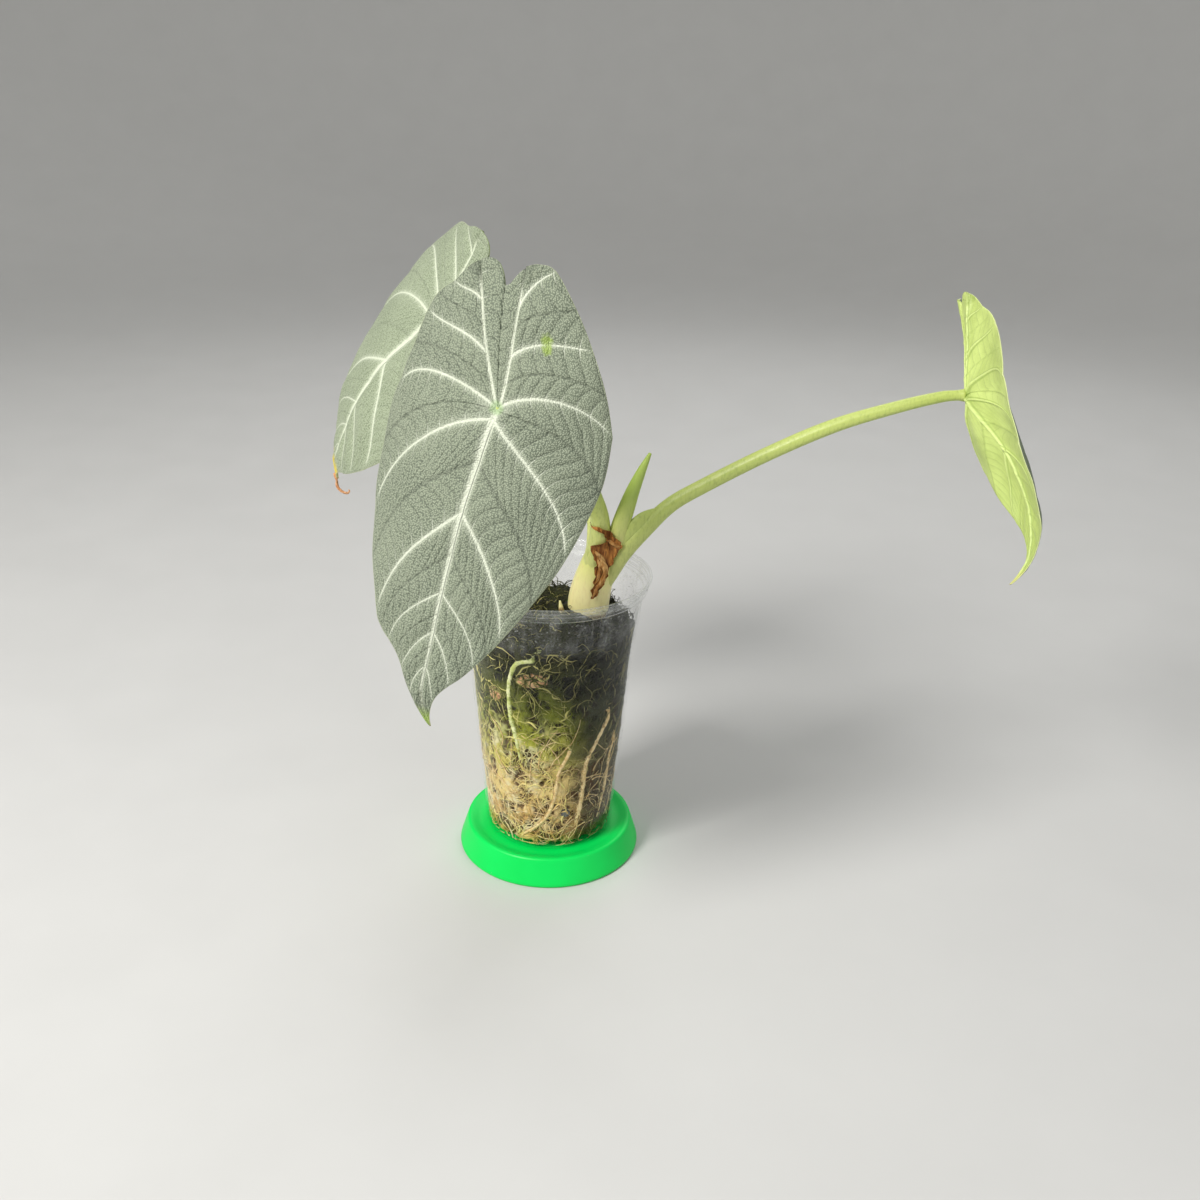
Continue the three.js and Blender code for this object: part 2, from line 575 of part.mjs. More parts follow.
// Torn dry sheath over the front of the stem: [height, left edge, right edge]
const DRY_SHEATH = [[129.5, 17.6, 18.8], [133, 17.6, 21], [138, 18.6, 23.6], [143, 19.4, 25.5],
  [147.5, 19.2, 27.2], [151, 17.6, 29], [154, 17.4, 31.6], [156, 23.4, 29.5], [158.5, 23.6, 27],
  [161, 20.8, 24.6], [162.8, 16.8, 21.6]];

// Nearest face of the stalks to the viewer at a place
function frontOfStalks(x, z) {
  let front = 3;
  for (const name of ['stem_base', 'stalk_front', 'spear', 'stalk_right']) {
    const path = STALKS[name];
    for (let i = 0; i + 1 < path.length; i += 1) {
      for (let step = 0; step <= 8; step += 1) {
        const [cx, cy, cz, r] = path[i].map((value, k) => value + (path[i + 1][k] - value) * step / 8);
        const square = r * r - (x - cx) ** 2 - (z - cz) ** 2;
        if (square > 0) front = Math.min(front, cy - Math.sqrt(square));
      }
    }
  }
  return front;
}

function sheathGeometry() {
  const thickness = 0.8;
  const columns = [0, 0.25, 0.5, 0.75, 1];
  const inner = [];
  const outer = [];
  for (const [z, left, right] of DRY_SHEATH) {
    for (const part of columns) {
      const x = left + (right - left) * part;
      const y = frontOfStalks(x, z) - GAP;
      inner.push(new THREE.Vector3(x, y, z));
      outer.push(new THREE.Vector3(x, y - thickness - 0.5 * Math.sin(0.9 * z + x) ** 2, z));
    }
  }
  const faces = [];
  for (let i = 0; i + 1 < DRY_SHEATH.length; i += 1) {
    for (let j = 0; j + 1 < columns.length; j += 1) {
      const a = i * columns.length + j;
      const b = a + columns.length;
      faces.push([a, a + 1, b + 1], [a, b + 1, b]);
    }
  }
  return shell(outer, inner, faces);
}

// The assembled plant

const plant = new THREE.Group();

function add(name, geometry, color, roughness) {
  const flat = geometry.index ? geometry.toNonIndexed() : geometry;
  flat.computeVertexNormals();
  const mesh = new THREE.Mesh(flat, new THREE.MeshStandardMaterial({ color, roughness, metalness: 0 }));
  mesh.name = name;
  plant.add(mesh);
}

const stemPocket = stalkGeometry(STALKS.stem_base, { grow: GAP });
const spearPocket = stalkGeometry(STALKS.spear, { grow: GAP });
const frontPocket = stalkGeometry(STALKS.stalk_front.slice(0, 4), { grow: GAP });
const rootNames = Object.keys(ROOTS);
const chipNames = Object.keys(CHIPS);

add('saucer', saucerGeometry(), 0x12b45a, 0.35);
add('pot', potGeometry(), 0xdfe6e4, 0.12);
add('moss', cut(mossGeometry(), [
  stemPocket,
  ...rootNames.map((name) => rootGeometry(ROOTS[name], GAP)),
  ...chipNames.map((name) => chipGeometry(CHIPS[name], GAP)),
]), 0x5d6b35, 0.95);
for (const name of rootNames) add(name, cut(rootGeometry(ROOTS[name]), [stemPocket]), 0xd8cfa8, 0.7);
for (const name of chipNames) {
  add(name, chipGeometry(CHIPS[name]), name === 'pebble' ? 0x8f8b80 : 0xb98462, 0.85);
}
add('stem_base', stalkGeometry(STALKS.stem_base), 0xdfe0b4, 0.5);
add('spear', cut(stalkGeometry(STALKS.spear), [stemPocket]), 0x9cc04a, 0.45);
add('stalk_front', cut(stalkGeometry(stalkPath('stalk_front', LEAVES.leaf_front)),
  [stemPocket, spearPocket, bladeSlab(LEAVES.leaf_front)]), 0xb9c790, 0.5);
add('stalk_back', cut(stalkGeometry(stalkPath('stalk_back', LEAVES.leaf_back)),
  [stemPocket, spearPocket, frontPocket, bladeSlab(LEAVES.leaf_back)]), 0xb9c790, 0.5);
const wing = stalkGeometry(SHEATH_WING, { flatness: 0.35, stepLength: 4 });
add('stalk_right', cut(join([stalkGeometry(stalkPath('stalk_right', LEAVES.leaf_right)), wing]),
  [stemPocket, spearPocket, frontPocket, bladeSlab(LEAVES.leaf_right)]), 0xb4c486, 0.5);
const rightPocket = stalkGeometry(STALKS.stalk_right.slice(0, 5), { grow: GAP });
add('dry_sheath', cut(sheathGeometry(), [stemPocket, frontPocket, spearPocket, rightPocket]), 0x9a5f2c, 0.85);
for (const [name, leaf] of Object.entries(LEAVES)) add(name, leafGeometry(leaf), leaf.color, 0.6);

export default plant;
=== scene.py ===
# Potted maharani alocasia: three quilted leaves, a rolled new leaf, roots and moss in a clear cup on a
# green saucer. Sizes are in millimetres until a mesh is made, and the scene is in metres. The plant is
# seen from -Y.

import itertools
import math

import bpy
import numpy as np
from mathutils import Matrix, Vector


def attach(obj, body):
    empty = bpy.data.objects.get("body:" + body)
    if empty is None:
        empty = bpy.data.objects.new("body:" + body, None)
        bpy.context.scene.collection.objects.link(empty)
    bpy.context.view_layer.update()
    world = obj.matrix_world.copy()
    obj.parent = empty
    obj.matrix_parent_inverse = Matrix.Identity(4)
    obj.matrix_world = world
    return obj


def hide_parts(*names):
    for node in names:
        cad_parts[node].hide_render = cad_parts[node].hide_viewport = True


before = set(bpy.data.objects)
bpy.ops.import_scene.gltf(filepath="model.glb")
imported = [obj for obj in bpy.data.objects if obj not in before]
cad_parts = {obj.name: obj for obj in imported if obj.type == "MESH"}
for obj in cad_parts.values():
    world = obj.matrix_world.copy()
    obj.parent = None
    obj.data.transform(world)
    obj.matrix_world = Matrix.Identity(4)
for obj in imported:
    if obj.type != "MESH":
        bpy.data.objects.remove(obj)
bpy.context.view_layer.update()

MM = 0.001

# Sizes shared with the solids

WALL = 0.9
POT_FOOT = 12.3
POT_WALL = np.array([[30.3, 14.6], [31, 28], [33.9, 56], [37.3, 100], [40.5, 125], [41.2, 132.5]])
MOSS_TOP = 117
# Middle of the stem's foot, (x, y)
STEM_FOOT = (16, 2)
# Thickness of a leaf between its ribs
THICKNESS = 0.5

# Leaf outline: margin points of each half at row numbers, (row, across, along).
# Row 0 ends at the lobe's tip, row 3 starts at the junction with the stalk, row 9 is the leaf's tip.
MARGIN = {
    "right": [
        (0, 7, -46.5), (0.5, 12, -48.3), (1, 18, -47.3), (1.5, 26, -37), (2, 32, -26), (2.5, 37.3, -13),
        (3, 40.3, 0), (3.5, 43.3, 20), (4, 39, 45), (4.5, 32, 63), (5, 24, 79), (5.5, 20.5, 85),
        (6, 17, 90.5), (6.5, 13.5, 95.5), (7, 10, 99.5), (8, 4.5, 107), (9, 0, 117),
    ],
    "left": [
        (0, 10.6, -44.7), (0.5, 14.5, -42), (1, 20, -36.5), (1.5, 27.5, -31.5), (2, 33, -25),
        (2.5, 39.5, -12.5), (3, 45, 2), (3.5, 45.3, 25), (4, 41.5, 47.5), (4.5, 34.5, 66), (5, 27, 83),
        (5.5, 22.5, 88.3), (6, 18, 91.5), (6.5, 13.5, 95), (7, 10, 99), (8, 4.8, 107), (9, 0, 117),
    ],
}
ROWS = range(10)
# Where each row's vein leaves the spine, (row, along)
VEIN_START = [(0, -46), (1, -33), (2, -17), (3, 0), (4, 4), (5, 37.5), (6, 67), (7, 82), (8, 95), (9, 117)]
# Directions in which each row's vein leaves the spine and ends, in degrees
VEIN_LEAVE = {
    "right": [-75, -70, -50, -40, 38, 46, 40, 40, 45, 70],
    "left": [-75, -55, -40, -25, 12, 50, 40, 40, 45, 70],
}
VEIN_END = {
    "right": [-75, -30, -5, 45, 80, 85, 85, 80, 80, 80],
    "left": [-75, -35, -25, 45, 75, 85, 85, 80, 80, 80],
}
# Half width of each row's vein where it leaves the spine
VEIN_WIDTH = [0.3, 0.62, 0.8, 0.95, 1.0, 0.95, 0.42, 0.38, 0.3, 0.2]
# Fine rows between one vein and the next
FINE_ROWS = [16, 30, 36, 62, 52, 36, 20, 16, 26]
FINE_COLUMNS = 66
# Distance between side veins, and how soon they swing outwards
SIDE_VEIN_SPACING = 5.2
SIDE_VEIN_SWING = 22
# Each lobe's vein: how far it spreads from the centre line, and the power of its curve
LOBE_SPREAD = {"right": 7, "left": 10.5}
LOBE_POWER = {"right": 0.6, "left": 0.8}
# How far each lobe's vein reaches
LOBE_END = {"right": 46, "left": 44.8}
# Inner edge of each lobe, from the notch to its vein: (part of the way across, part of the way along)
NOTCH_EDGE = {
    "right": [(0, 0), (0.27, 0.12), (0.5, 0.42), (0.75, 0.74), (1, 1)],
    "left": [(0, 0), (0.1, 0.74), (0.25, 1.15), (0.5, 1.3), (0.75, 1.22), (1, 1)],
}
# Width over which lobes of unequal length meet at the notch
LOBE_BLEND = 5
# Distances from the junction along the leaf
LOBE = 46
NOTCH = 39
TIP = 117
HOOK_START = 100
BOW_END = 60
# Width over which a fold along the midrib is rounded
FOLD_WIDTH = 7

# Each leaf's place and bend. Curls are in 1/mm, folds in degrees, each as (right, left).
LEAVES = {
    "leaf_front": {
        "junction": (-14.2, -105, 239.1), "facing": -16, "tilt": 12, "roll": 10, "size": 1, "width": (1, 1),
        "fullness": (0, 0), "lobe_length": (1, 1), "lobe_shift": -0.22, "bow": -5, "hook": 6,
        "curl_lobe": (0.0125, 0.0143), "curl_tip": (0.0125, 0.0143), "fold_lobe": (0, 0),
        "fold_tip": (0, 0), "droop": (-4, 0), "lobe_bend": 4, "tip_bend": 0,
    },
    "leaf_back": {
        "junction": (-48.9, 5.4, 250.4), "facing": -52, "tilt": 24, "roll": 36.5, "size": 0.97,
        "width": (1.08, 1.21), "fullness": (0.5, 0), "lobe_length": (0.72, 1), "lobe_shift": 0.28,
        "bow": -8.9, "hook": 0, "curl_lobe": (0.024, 0.0086), "curl_tip": (0.018, 0.0086),
        "fold_lobe": (0, 0), "fold_tip": (0, 0), "droop": (3.5, -22.8), "lobe_bend": -10.2, "tip_bend": -2.3,
    },
    "leaf_right": {
        "junction": (170.4, -8.7, 225.9), "facing": 80.8, "tilt": 1.2, "roll": 31.55, "size": 0.693,
        "width": (0.8, 0.95), "fullness": (-0.9, 0), "lobe_length": (1.334, 1.334), "lobe_shift": 0.007,
        "bow": -26.9, "hook": -1.5, "curl_lobe": (0.018, 0.01035), "curl_tip": (-0.024, 0.027),
        "fold_lobe": (16.5, 27.7), "fold_tip": (4.35, 39.3), "droop": (88.1, -76.9),
        "lobe_bend": 2.35, "tip_bend": -1.3,
    },
}

# Stalks: (x, y, z, radius) from the base to the end
STALKS = {
    "stem_base": [
        (16.6, 3, 106, 7.2), (16.4, 3, 114, 7.8), (16.6, 2.8, 121, 8.8), (17.2, 2.5, 127, 8.9),
        (18.9, 2.3, 135, 8.3), (20.9, 2, 143, 7.4), (22.6, 2, 151, 6),
    ],
    "stalk_front": [
        (18.4, 1.6, 137, 4.8), (19.8, 0.8, 147, 5.5), (21, 0, 157, 4.7), (20.6, -1.5, 166, 4.1),
        (18.5, -4.5, 174, 4), (13, -14, 190, 3.6), (3, -40, 214, 3.4), (-6, -72, 231, 3.1),
    ],
    "stalk_back": [
        (19.2, 7, 145, 4.4), (18.6, 9.3, 160, 3.5), (16, 11.5, 180, 3.4), (2, 14.5, 212, 3.2),
        (-22, 15, 236, 2.9),
    ],
    "stalk_right": [
        (20.6, 1.6, 129, 3.4), (25, 1, 138, 4), (31, 0.5, 149, 4.2), (40.2, 0, 160.4, 3.9),
        (51.2, 0, 172, 3.4), (63.3, -0.5, 180.2, 3.15), (91.2, -3, 197, 3.1), (118.2, -5.5, 210.9, 2.9),
        (144, -7.6, 220.3, 2.6),
    ],
    "spear": [
        (26, 1, 146, 3.6), (28.2, 0.6, 155, 4.2), (30.3, 0.1, 164, 4), (34, 0, 176.5, 3.1),
        (38, 0, 187, 2), (41.5, 0, 195, 0.7),
    ],
}
SHEATH_WING = [
    (30, -2, 153, 1.4), (34, -1.6, 159.5, 3.2), (39.5, -1.2, 165.2, 3.4), (44, -0.8, 168.4, 2.2),
    (47, -0.4, 170, 0.8),
]
SHOOT = [(5.8, -0.5, 116, 1.5), (4.6, -1.2, 121, 1.3), (3.8, -1.6, 126, 0.4)]

# Roots that press against the cup: radius, height where they leave the stem, and (degrees, height) along
# the wall
ROOTS = {
    "root_1": (1.1, 113, [(-100, 112.5), (-108, 111.2), (-113, 108.5), (-118, 100), (-119.3, 90),
                          (-118.3, 80.5), (-115, 72.3), (-112, 60)]),
    "root_2": (0.9, 105, [(-72, 66), (-80, 55), (-83, 42), (-89, 31), (-101, 23.5), (-113, 18)]),
    "root_3": (1.3, 111, [(-37, 79.5), (-46, 70), (-57, 57.5), (-58, 46), (-60, 31), (-67, 19)]),
    "root_4": (0.9, 106, [(-26, 66), (-30, 57), (-31, 40), (-37, 23)]),
    "root_5": (1.0, 109, [(70, 84), (82, 70), (88, 52), (80, 36), (66, 24)]),
    "root_6": (0.9, 107, [(165, 92), (158, 76), (150, 60), (156, 42), (168, 30)]),
}
# Chips and pebble against the wall: degrees, height, size round the wall, deep and up, and tilt
CHIPS = {
    "bark_chip_1": (-101, 102, (13, 5, 7), 12),
    "bark_chip_2": (-134, 90.5, (7, 4.5, 6), -20),
    "pebble": (-73, 31, (4, 3.2, 4), 8),
}
# Middle of the healed scar on the front leaf, (across, along)
SCAR = (16.5, -24.2)
# Torn dry sheath over the front of the stem: (height, left edge, right edge)
DRY_SHEATH = [
    (129.5, 17.6, 18.8), (133, 17.6, 21), (138, 18.6, 23.6), (143, 19.4, 25.5), (147.5, 19.2, 27.2),
    (151, 17.6, 29), (154, 17.4, 31.6), (156, 23.4, 29.5), (158.5, 23.6, 27), (161, 20.8, 24.6),
    (162.8, 16.8, 21.6),
]
# Curled edges of the dry sheath, (x, height, radius)
SHEATH_CURLS = [
    [
        (19.2, 151.5, 0.5), (22, 148, 1.1), (23.6, 143, 1.3), (22.4, 138, 1.1), (20, 134, 0.8),
        (18.6, 130.5, 0.3),
    ],
    [(20.5, 147.8, 0.4), (21.4, 144, 0.8), (20.6, 139.5, 0.7), (19.2, 136.5, 0.3)],
    [(24, 156.5, 0.4), (27.5, 154.6, 0.9), (30.6, 152.8, 0.4)],
]
# Dead tip that hangs from the back leaf, (x, height, radius) from the leaf's end
DEAD_TIP = [
    (-0.2, 1.6, 0.7), (0, 0, 0.7), (0.3, -2, 0.5), (0.4, -4.2, 0.65), (1.4, -6.4, 0.6),
    (3.2, -8.0, 0.55), (5.2, -8.2, 0.5), (6.2, -7.2, 0.35), (5.9, -6.4, 0.15),
]


# Curves and noise

def smooth_curve(table, value, column):
    """Smooth curve through a table's column, with the first column as the parameter."""
    table = np.array(table, float)
    knots = table[:, 0]
    levels = table[:, column]
    slopes = np.empty(len(knots))
    slopes[1:-1] = (levels[2:] - levels[:-2]) / (knots[2:] - knots[:-2])
    slopes[0] = (levels[1] - levels[0]) / (knots[1] - knots[0])
    slopes[-1] = (levels[-1] - levels[-2]) / (knots[-1] - knots[-2])
    i = np.clip(np.searchsorted(knots, value, side="right") - 1, 0, len(knots) - 2)
    step = knots[i + 1] - knots[i]
    q = (value - knots[i]) / step
    return (
        (2 * q**3 - 3 * q**2 + 1) * levels[i] + (q**3 - 2 * q**2 + q) * step * slopes[i]
        + (3 * q**2 - 2 * q**3) * levels[i + 1] + (q**3 - q**2) * step * slopes[i + 1]
    )


def smooth_step(value, low, high):
    part = np.clip((value - low) / (high - low), 0, 1)
    return part * part * (3 - 2 * part)


def lumps(points, size, seed=0):
    """Smooth noise between 0 and 1 whose lumps are about size across."""
    place = np.asarray(points, float) / size
    base = np.floor(place)
    part = place - base
    part = part * part * (3 - 2 * part)
    total = 0
    for corner in itertools.product((0, 1), repeat=3):
        node = base + corner
        value = np.sin(node @ np.array([12.9898, 78.233, 37.719]) + seed * 1.37) * 43758.5453
        weight = np.prod(np.where(corner, part, 1 - part), axis=-1)
        total = total + weight * (value - np.floor(value))
    return total


def wall_radius(height):
    """Outer radius of the cup's wall."""
    return np.interp(height, POT_WALL[:, 1], POT_WALL[:, 0])


def round_axis(radius, turn, height):
    """Places at a distance from the Z axis."""
    radius, turn, height = np.broadcast_arrays(radius, turn, height)
    return np.stack([radius * np.cos(turn), radius * np.sin(turn), height], axis=-1)


def full_turn(parts):
    """Angles that part a turn evenly."""
    return np.linspace(0, 2 * math.pi, parts, endpoint=False)


def unit(vectors):
    return vectors / np.linalg.norm(vectors, axis=-1, keepdims=True)


# Meshes

def make_piece(name, points, faces, finishes, replaces=(), face_finish=None, attributes=None):
    """Makes a smooth piece in the shared frame from points in millimetres."""
    mesh = bpy.data.meshes.new(name)
    mesh.from_pydata((np.asarray(points) * MM).tolist(), [], [list(map(int, face)) for face in faces])
    mesh.shade_smooth()
    for finish in finishes:
        mesh.materials.append(finish.material)
    if face_finish is not None:
        mesh.polygons.foreach_set("material_index", np.asarray(face_finish, np.int32))
    for title, values in (attributes or {}).items():
        values = np.asarray(values, np.float32)
        kind, field = ("FLOAT", "value") if values.ndim == 1 else ("FLOAT_VECTOR", "vector")
        mesh.attributes.new(title, kind, "POINT").data.foreach_set(field, values.ravel())
    piece = bpy.data.objects.new(name, mesh)
    bpy.context.scene.collection.objects.link(piece)
    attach(piece, "root")
    if replaces:
        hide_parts(*replaces)
    return piece


def weld(points, faces, attributes):
    """Merges points that lie in one place, and drops faces that close up."""
    keys = np.round(points / 0.002).astype(np.int64)
    _, first, inverse = np.unique(keys, axis=0, return_index=True, return_inverse=True)
    inverse = inverse.ravel()
    kept = []
    for face in inverse[faces].tolist():
        corners = list(dict.fromkeys(face))
        if len(corners) > 2:
            kept.append(corners)
    return points[first], kept, {title: values[first] for title, values in attributes.items()}


def grid_faces(rows, columns, flip=False, offset=0, closed=False):
    """Faces of a grid of points, joined round its columns where it is closed."""
    i, j = np.meshgrid(np.arange(rows - 1), np.arange(columns if closed else columns - 1), indexing="ij")
    after = (j + 1) % columns
    corners = [i * columns + j, i * columns + after, (i + 1) * columns + after, (i + 1) * columns + j]
    if flip:
        corners.reverse()
    return np.stack([corner.ravel() for corner in corners], axis=1) + offset


def open_edges(faces):
    """Edges that only one face uses, in that face's direction."""
    seen = {}
    for face in faces:
        for a, b in zip(face, face[1:] + face[:1]):
            if (b, a) in seen:
                del seen[(b, a)]
            else:
                seen[(a, b)] = True
    return list(seen)


def thicken(upper, lower, faces):
    """Closed shell between two matching faces, and the finish number of each of its faces."""
    count = len(upper)
    below = [[corner + count for corner in reversed(face)] for face in faces]
    rim = [[b, a, a + count, b + count] for a, b in open_edges(faces)]
    numbers = [0] * len(faces) + [1] * (len(below) + len(rim))
    return np.concatenate([upper, lower]), faces + below + rim, numbers


def closed_grid(points, columns, ends, flip=False):
    """Closes a grid of rings with a fan of faces round each of two end points."""
    count = len(points)
    last = count - columns
    faces = grid_faces(count // columns, columns, flip, closed=True).tolist()
    for k in range(columns):
        after = (k + 1) % columns
        for fan in ([count, after, k], [count + 1, last + k, last + after]):
            faces.append(fan[::-1] if flip else fan)
    return np.concatenate([points, ends]), faces


def spin(profile, segments, ripple=None):
    """Closed body round the Z axis from (radius, height) points that start and end on the axis."""
    profile = np.array(profile, float)
    turn = full_turn(segments)
    radius = profile[1:-1, :1]
    height = profile[1:-1, 1:]
    if ripple is not None:
        radius = radius + ripple(height, turn)
    ends = [[0, 0, profile[0, 1]], [0, 0, profile[-1, 1]]]
    return closed_grid(round_axis(radius, turn, height).reshape(-1, 3), segments, ends)


def tube(path, radii, sides=24, section=None):
    """Closed rod along a path, with its distance along at each point.
    section gives the shape of the rod's section as a factor of its radius, from turn and length."""
    tangent = unit(np.gradient(path, axis=0))
    side = np.cross([0, 1, 0], tangent[0])
    if np.linalg.norm(side) < 0.1:
        side = np.cross([1, 0, 0], tangent[0])
    frames = []
    for direction in tangent:
        side = unit(side - direction * (side @ direction))
        frames.append(side)
    frames = np.array(frames)
    up = np.cross(tangent, frames)
    length = np.concatenate([[0], np.cumsum(np.linalg.norm(np.diff(path, axis=0), axis=1))])
    turn = full_turn(sides)
    reach = np.repeat(radii[:, None], sides, axis=1)
    if section is not None:
        reach = reach * section(turn[None, :], length[:, None])
    ring = np.cos(turn)[:, None] * frames[:, None] + np.sin(turn)[:, None] * up[:, None]
    points = (path[:, None] + reach[..., None] * ring).reshape(-1, 3)
    ends = [path[0] - tangent[0] * radii[0] * 0.4, path[-1] + tangent[-1] * radii[-1] * 0.4]
    along = np.concatenate([np.repeat(length, sides), [length[0], length[-1]]])
    return *closed_grid(points, sides, ends), along


def smooth_path(points, spacing=0.8):
    """Fine smooth path through points of any width, stepped evenly along its first three columns."""
    points = np.array(points, float)
    chord = np.concatenate([[0], np.cumsum(np.linalg.norm(np.diff(points[:, :3], axis=0), axis=1))])
    table = np.column_stack([chord, points])
    steps = np.linspace(0, chord[-1], max(4, int(chord[-1] / spacing)))
    return np.column_stack([smooth_curve(table, steps, column + 1) for column in range(points.shape[1])])


def strands(paths, radii, sides=4):
    """Many fine closed rods in one mesh. paths is (strand, step, xyz) and radii is (strand, step)."""
    number, steps, _ = paths.shape
    tangent = unit(np.gradient(paths, axis=1) + 1e-9)
    guide = np.cross(tangent, unit(paths * (1, 1, 0) + (1e-6, 0, 0)))
    side = unit(guide + 1e-9)
    up = np.cross(tangent, side)
    turn = full_turn(sides)
    ring = np.cos(turn)[:, None] * side[:, :, None, :] + np.sin(turn)[:, None] * up[:, :, None, :]
    points = (paths[:, :, None, :] + ring * radii[:, :, None, None]).reshape(-1, 3)
    one = grid_faces(steps, sides, closed=True)
    per_strand = steps * sides
    faces = (one[None] + np.arange(number)[:, None, None] * per_strand).reshape(-1, 4).tolist()
    first_cap = np.arange(sides)[::-1]
    last_cap = np.arange(sides) + per_strand - sides
    for cap in (first_cap, last_cap):
        faces += (cap[None] + np.arange(number)[:, None] * per_strand).tolist()
    return points, faces


def joined(parts):
    """Joins (points, faces) parts into one."""
    points = []
    faces = []
    count = 0
    for part_points, part_faces in parts:
        points.append(part_points)
        faces += [[corner + count for corner in face] for face in part_faces]
        count += len(part_points)
    return np.concatenate(points), faces


# Shader building

def colour(red, green, blue):
    """Linear colour from the usual 0 to 255 values."""
    levels = [value / 255 for value in (red, green, blue)]
    return (*[((level + 0.055) / 1.055) ** 2.4 if level > 0.04 else level / 12.92 for level in levels], 1)


class Value:
    """A shader socket that takes part in plain arithmetic."""

    def __init__(self, finish, socket):
        self.finish = finish
        self.socket = socket

    def __add__(self, other):
        return self.finish.math("ADD", self, other)

    def __radd__(self, other):
        return self.finish.math("ADD", other, self)

    def __sub__(self, other):
        return self.finish.math("SUBTRACT", self, other)

    def __rsub__(self, other):
        return self.finish.math("SUBTRACT", other, self)

    def __mul__(self, other):
        return self.finish.math("MULTIPLY", self, other)

    def __rmul__(self, other):
        return self.finish.math("MULTIPLY", other, self)

    def __truediv__(self, other):
        return self.finish.math("DIVIDE", self, other)

    def __rtruediv__(self, other):
        return self.finish.math("DIVIDE", other, self)

    def __pow__(self, other):
        return self.finish.math("POWER", self, other)


class Finish:
    """A procedural material. Its constants are set on the shader itself.
    Colours of three numbers are the usual 0 to 255 values, and those of four are linear."""

    def __init__(self, name, constants):
        self.material = bpy.data.materials.new(name)
        self.material.use_nodes = True
        self.tree = self.material.node_tree
        self.tree.nodes.clear()
        self.output = self.tree.nodes.new("ShaderNodeOutputMaterial")
        self.shader = self.tree.nodes.new("ShaderNodeBsdfPrincipled")
        self.tree.links.new(self.shader.outputs[0], self.output.inputs[0])
        for socket, value in constants.items():
            self.shader.inputs[socket].default_value = value

    def node(self, kind, settings=None, inputs=None, output=0):
        """Adds a node: its settings first, then the values or links of its sockets."""
        node = self.tree.nodes.new("ShaderNode" + kind)
        for name, value in (settings or {}).items():
            if name == "stops":
                self.set_stops(node.color_ramp, value)
            else:
                setattr(node, name, value)
        for name, value in (inputs or {}).items():
            self.feed(node.inputs[name], value)
        return Value(self, node.outputs[output])

    def feed(self, socket, value):
        if isinstance(value, Value):
            self.tree.links.new(value.socket, socket)
        elif socket.type == "RGBA" and len(value) == 3:
            socket.default_value = colour(*value)
        else:
            socket.default_value = value

    def set_stops(self, ramp, stops):
        while len(ramp.elements) < len(stops):
            ramp.elements.new(0.5)
        for element, (position, tint) in zip(ramp.elements, stops):
            element.position = position
            element.color = colour(*tint)

    def set(self, **sockets):
        """Links the shader's varying sockets, with _ for a space in a name."""
        for name, value in sockets.items():
            self.feed(self.shader.inputs[name.replace("_", " ")], value)

    def math(self, operation, *values):
        return self.node("Math", {"operation": operation}, dict(enumerate(values)))

    def fade(self, value, near, far, start=1, end=0):
        """Smooth step from start at near to end at far."""
        return self.node("MapRange", {"interpolation_type": "SMOOTHSTEP"},
                         {0: value, 1: near, 2: far, 3: start, 4: end})

    def near(self, value, centre, inner, outer, start=1):
        """Smooth step from start within inner of a centre to 0 beyond outer."""
        return self.fade(self.math("ABSOLUTE", value - centre), inner, outer, start, 0)

    def mix(self, factor, first, second):
        return self.node("Mix", {"data_type": "RGBA"}, {0: factor, 6: first, 7: second}, 2)

    def ramp(self, value, stops):
        return self.node("ValToRGB", {"stops": stops}, {0: value})

    def attribute(self, title, output=1):
        """A measure of the mesh: output 1 for a vector, 2 for a number."""
        return self.node("Attribute", {"attribute_name": title}, output=output)

    def parts(self, vector):
        split = self.tree.nodes.new("ShaderNodeSeparateXYZ")
        self.feed(split.inputs[0], vector)
        return [Value(self, socket) for socket in split.outputs]

    def stretch(self, vector, factors):
        return self.node("VectorMath", {"operation": "MULTIPLY"}, {0: vector, 1: factors})

    def place(self):
        """Place on the object in millimetres."""
        return self.stretch(self.node("TexCoord", output=3), (1000, 1000, 1000))

    def noise(self, vector, size, detail=3, roughness=0.55):
        """Noise between 0 and 1 whose lumps are about size across."""
        inputs = {"Vector": vector, "Scale": 1 / size, "Detail": detail, "Roughness": roughness}
        return self.node("TexNoise", None, inputs)

    def cells(self, vector, size, feature="F1", dimensions="3D"):
        """Distances in a pattern of cells of about one size."""
        return self.node("TexVoronoi", {"feature": feature, "voronoi_dimensions": dimensions},
                         {"Vector": vector, "Scale": 1 / size})

    def stripes(self, value, width):
        """1 on whole numbers of a value, 0 between them. width is the line's part of the spacing."""
        from_line = self.math("ABSOLUTE", self.math("FRACT", value) - 0.5)
        return self.fade(from_line, 0.5 - width, 0.5, 0, 1)

    def relief(self, height, strength=1):
        """Raises the surface by a height in millimetres."""
        self.set(Normal=self.node("Bump", None, {"Height": height, "Strength": strength, "Distance": MM}))


# Finishes

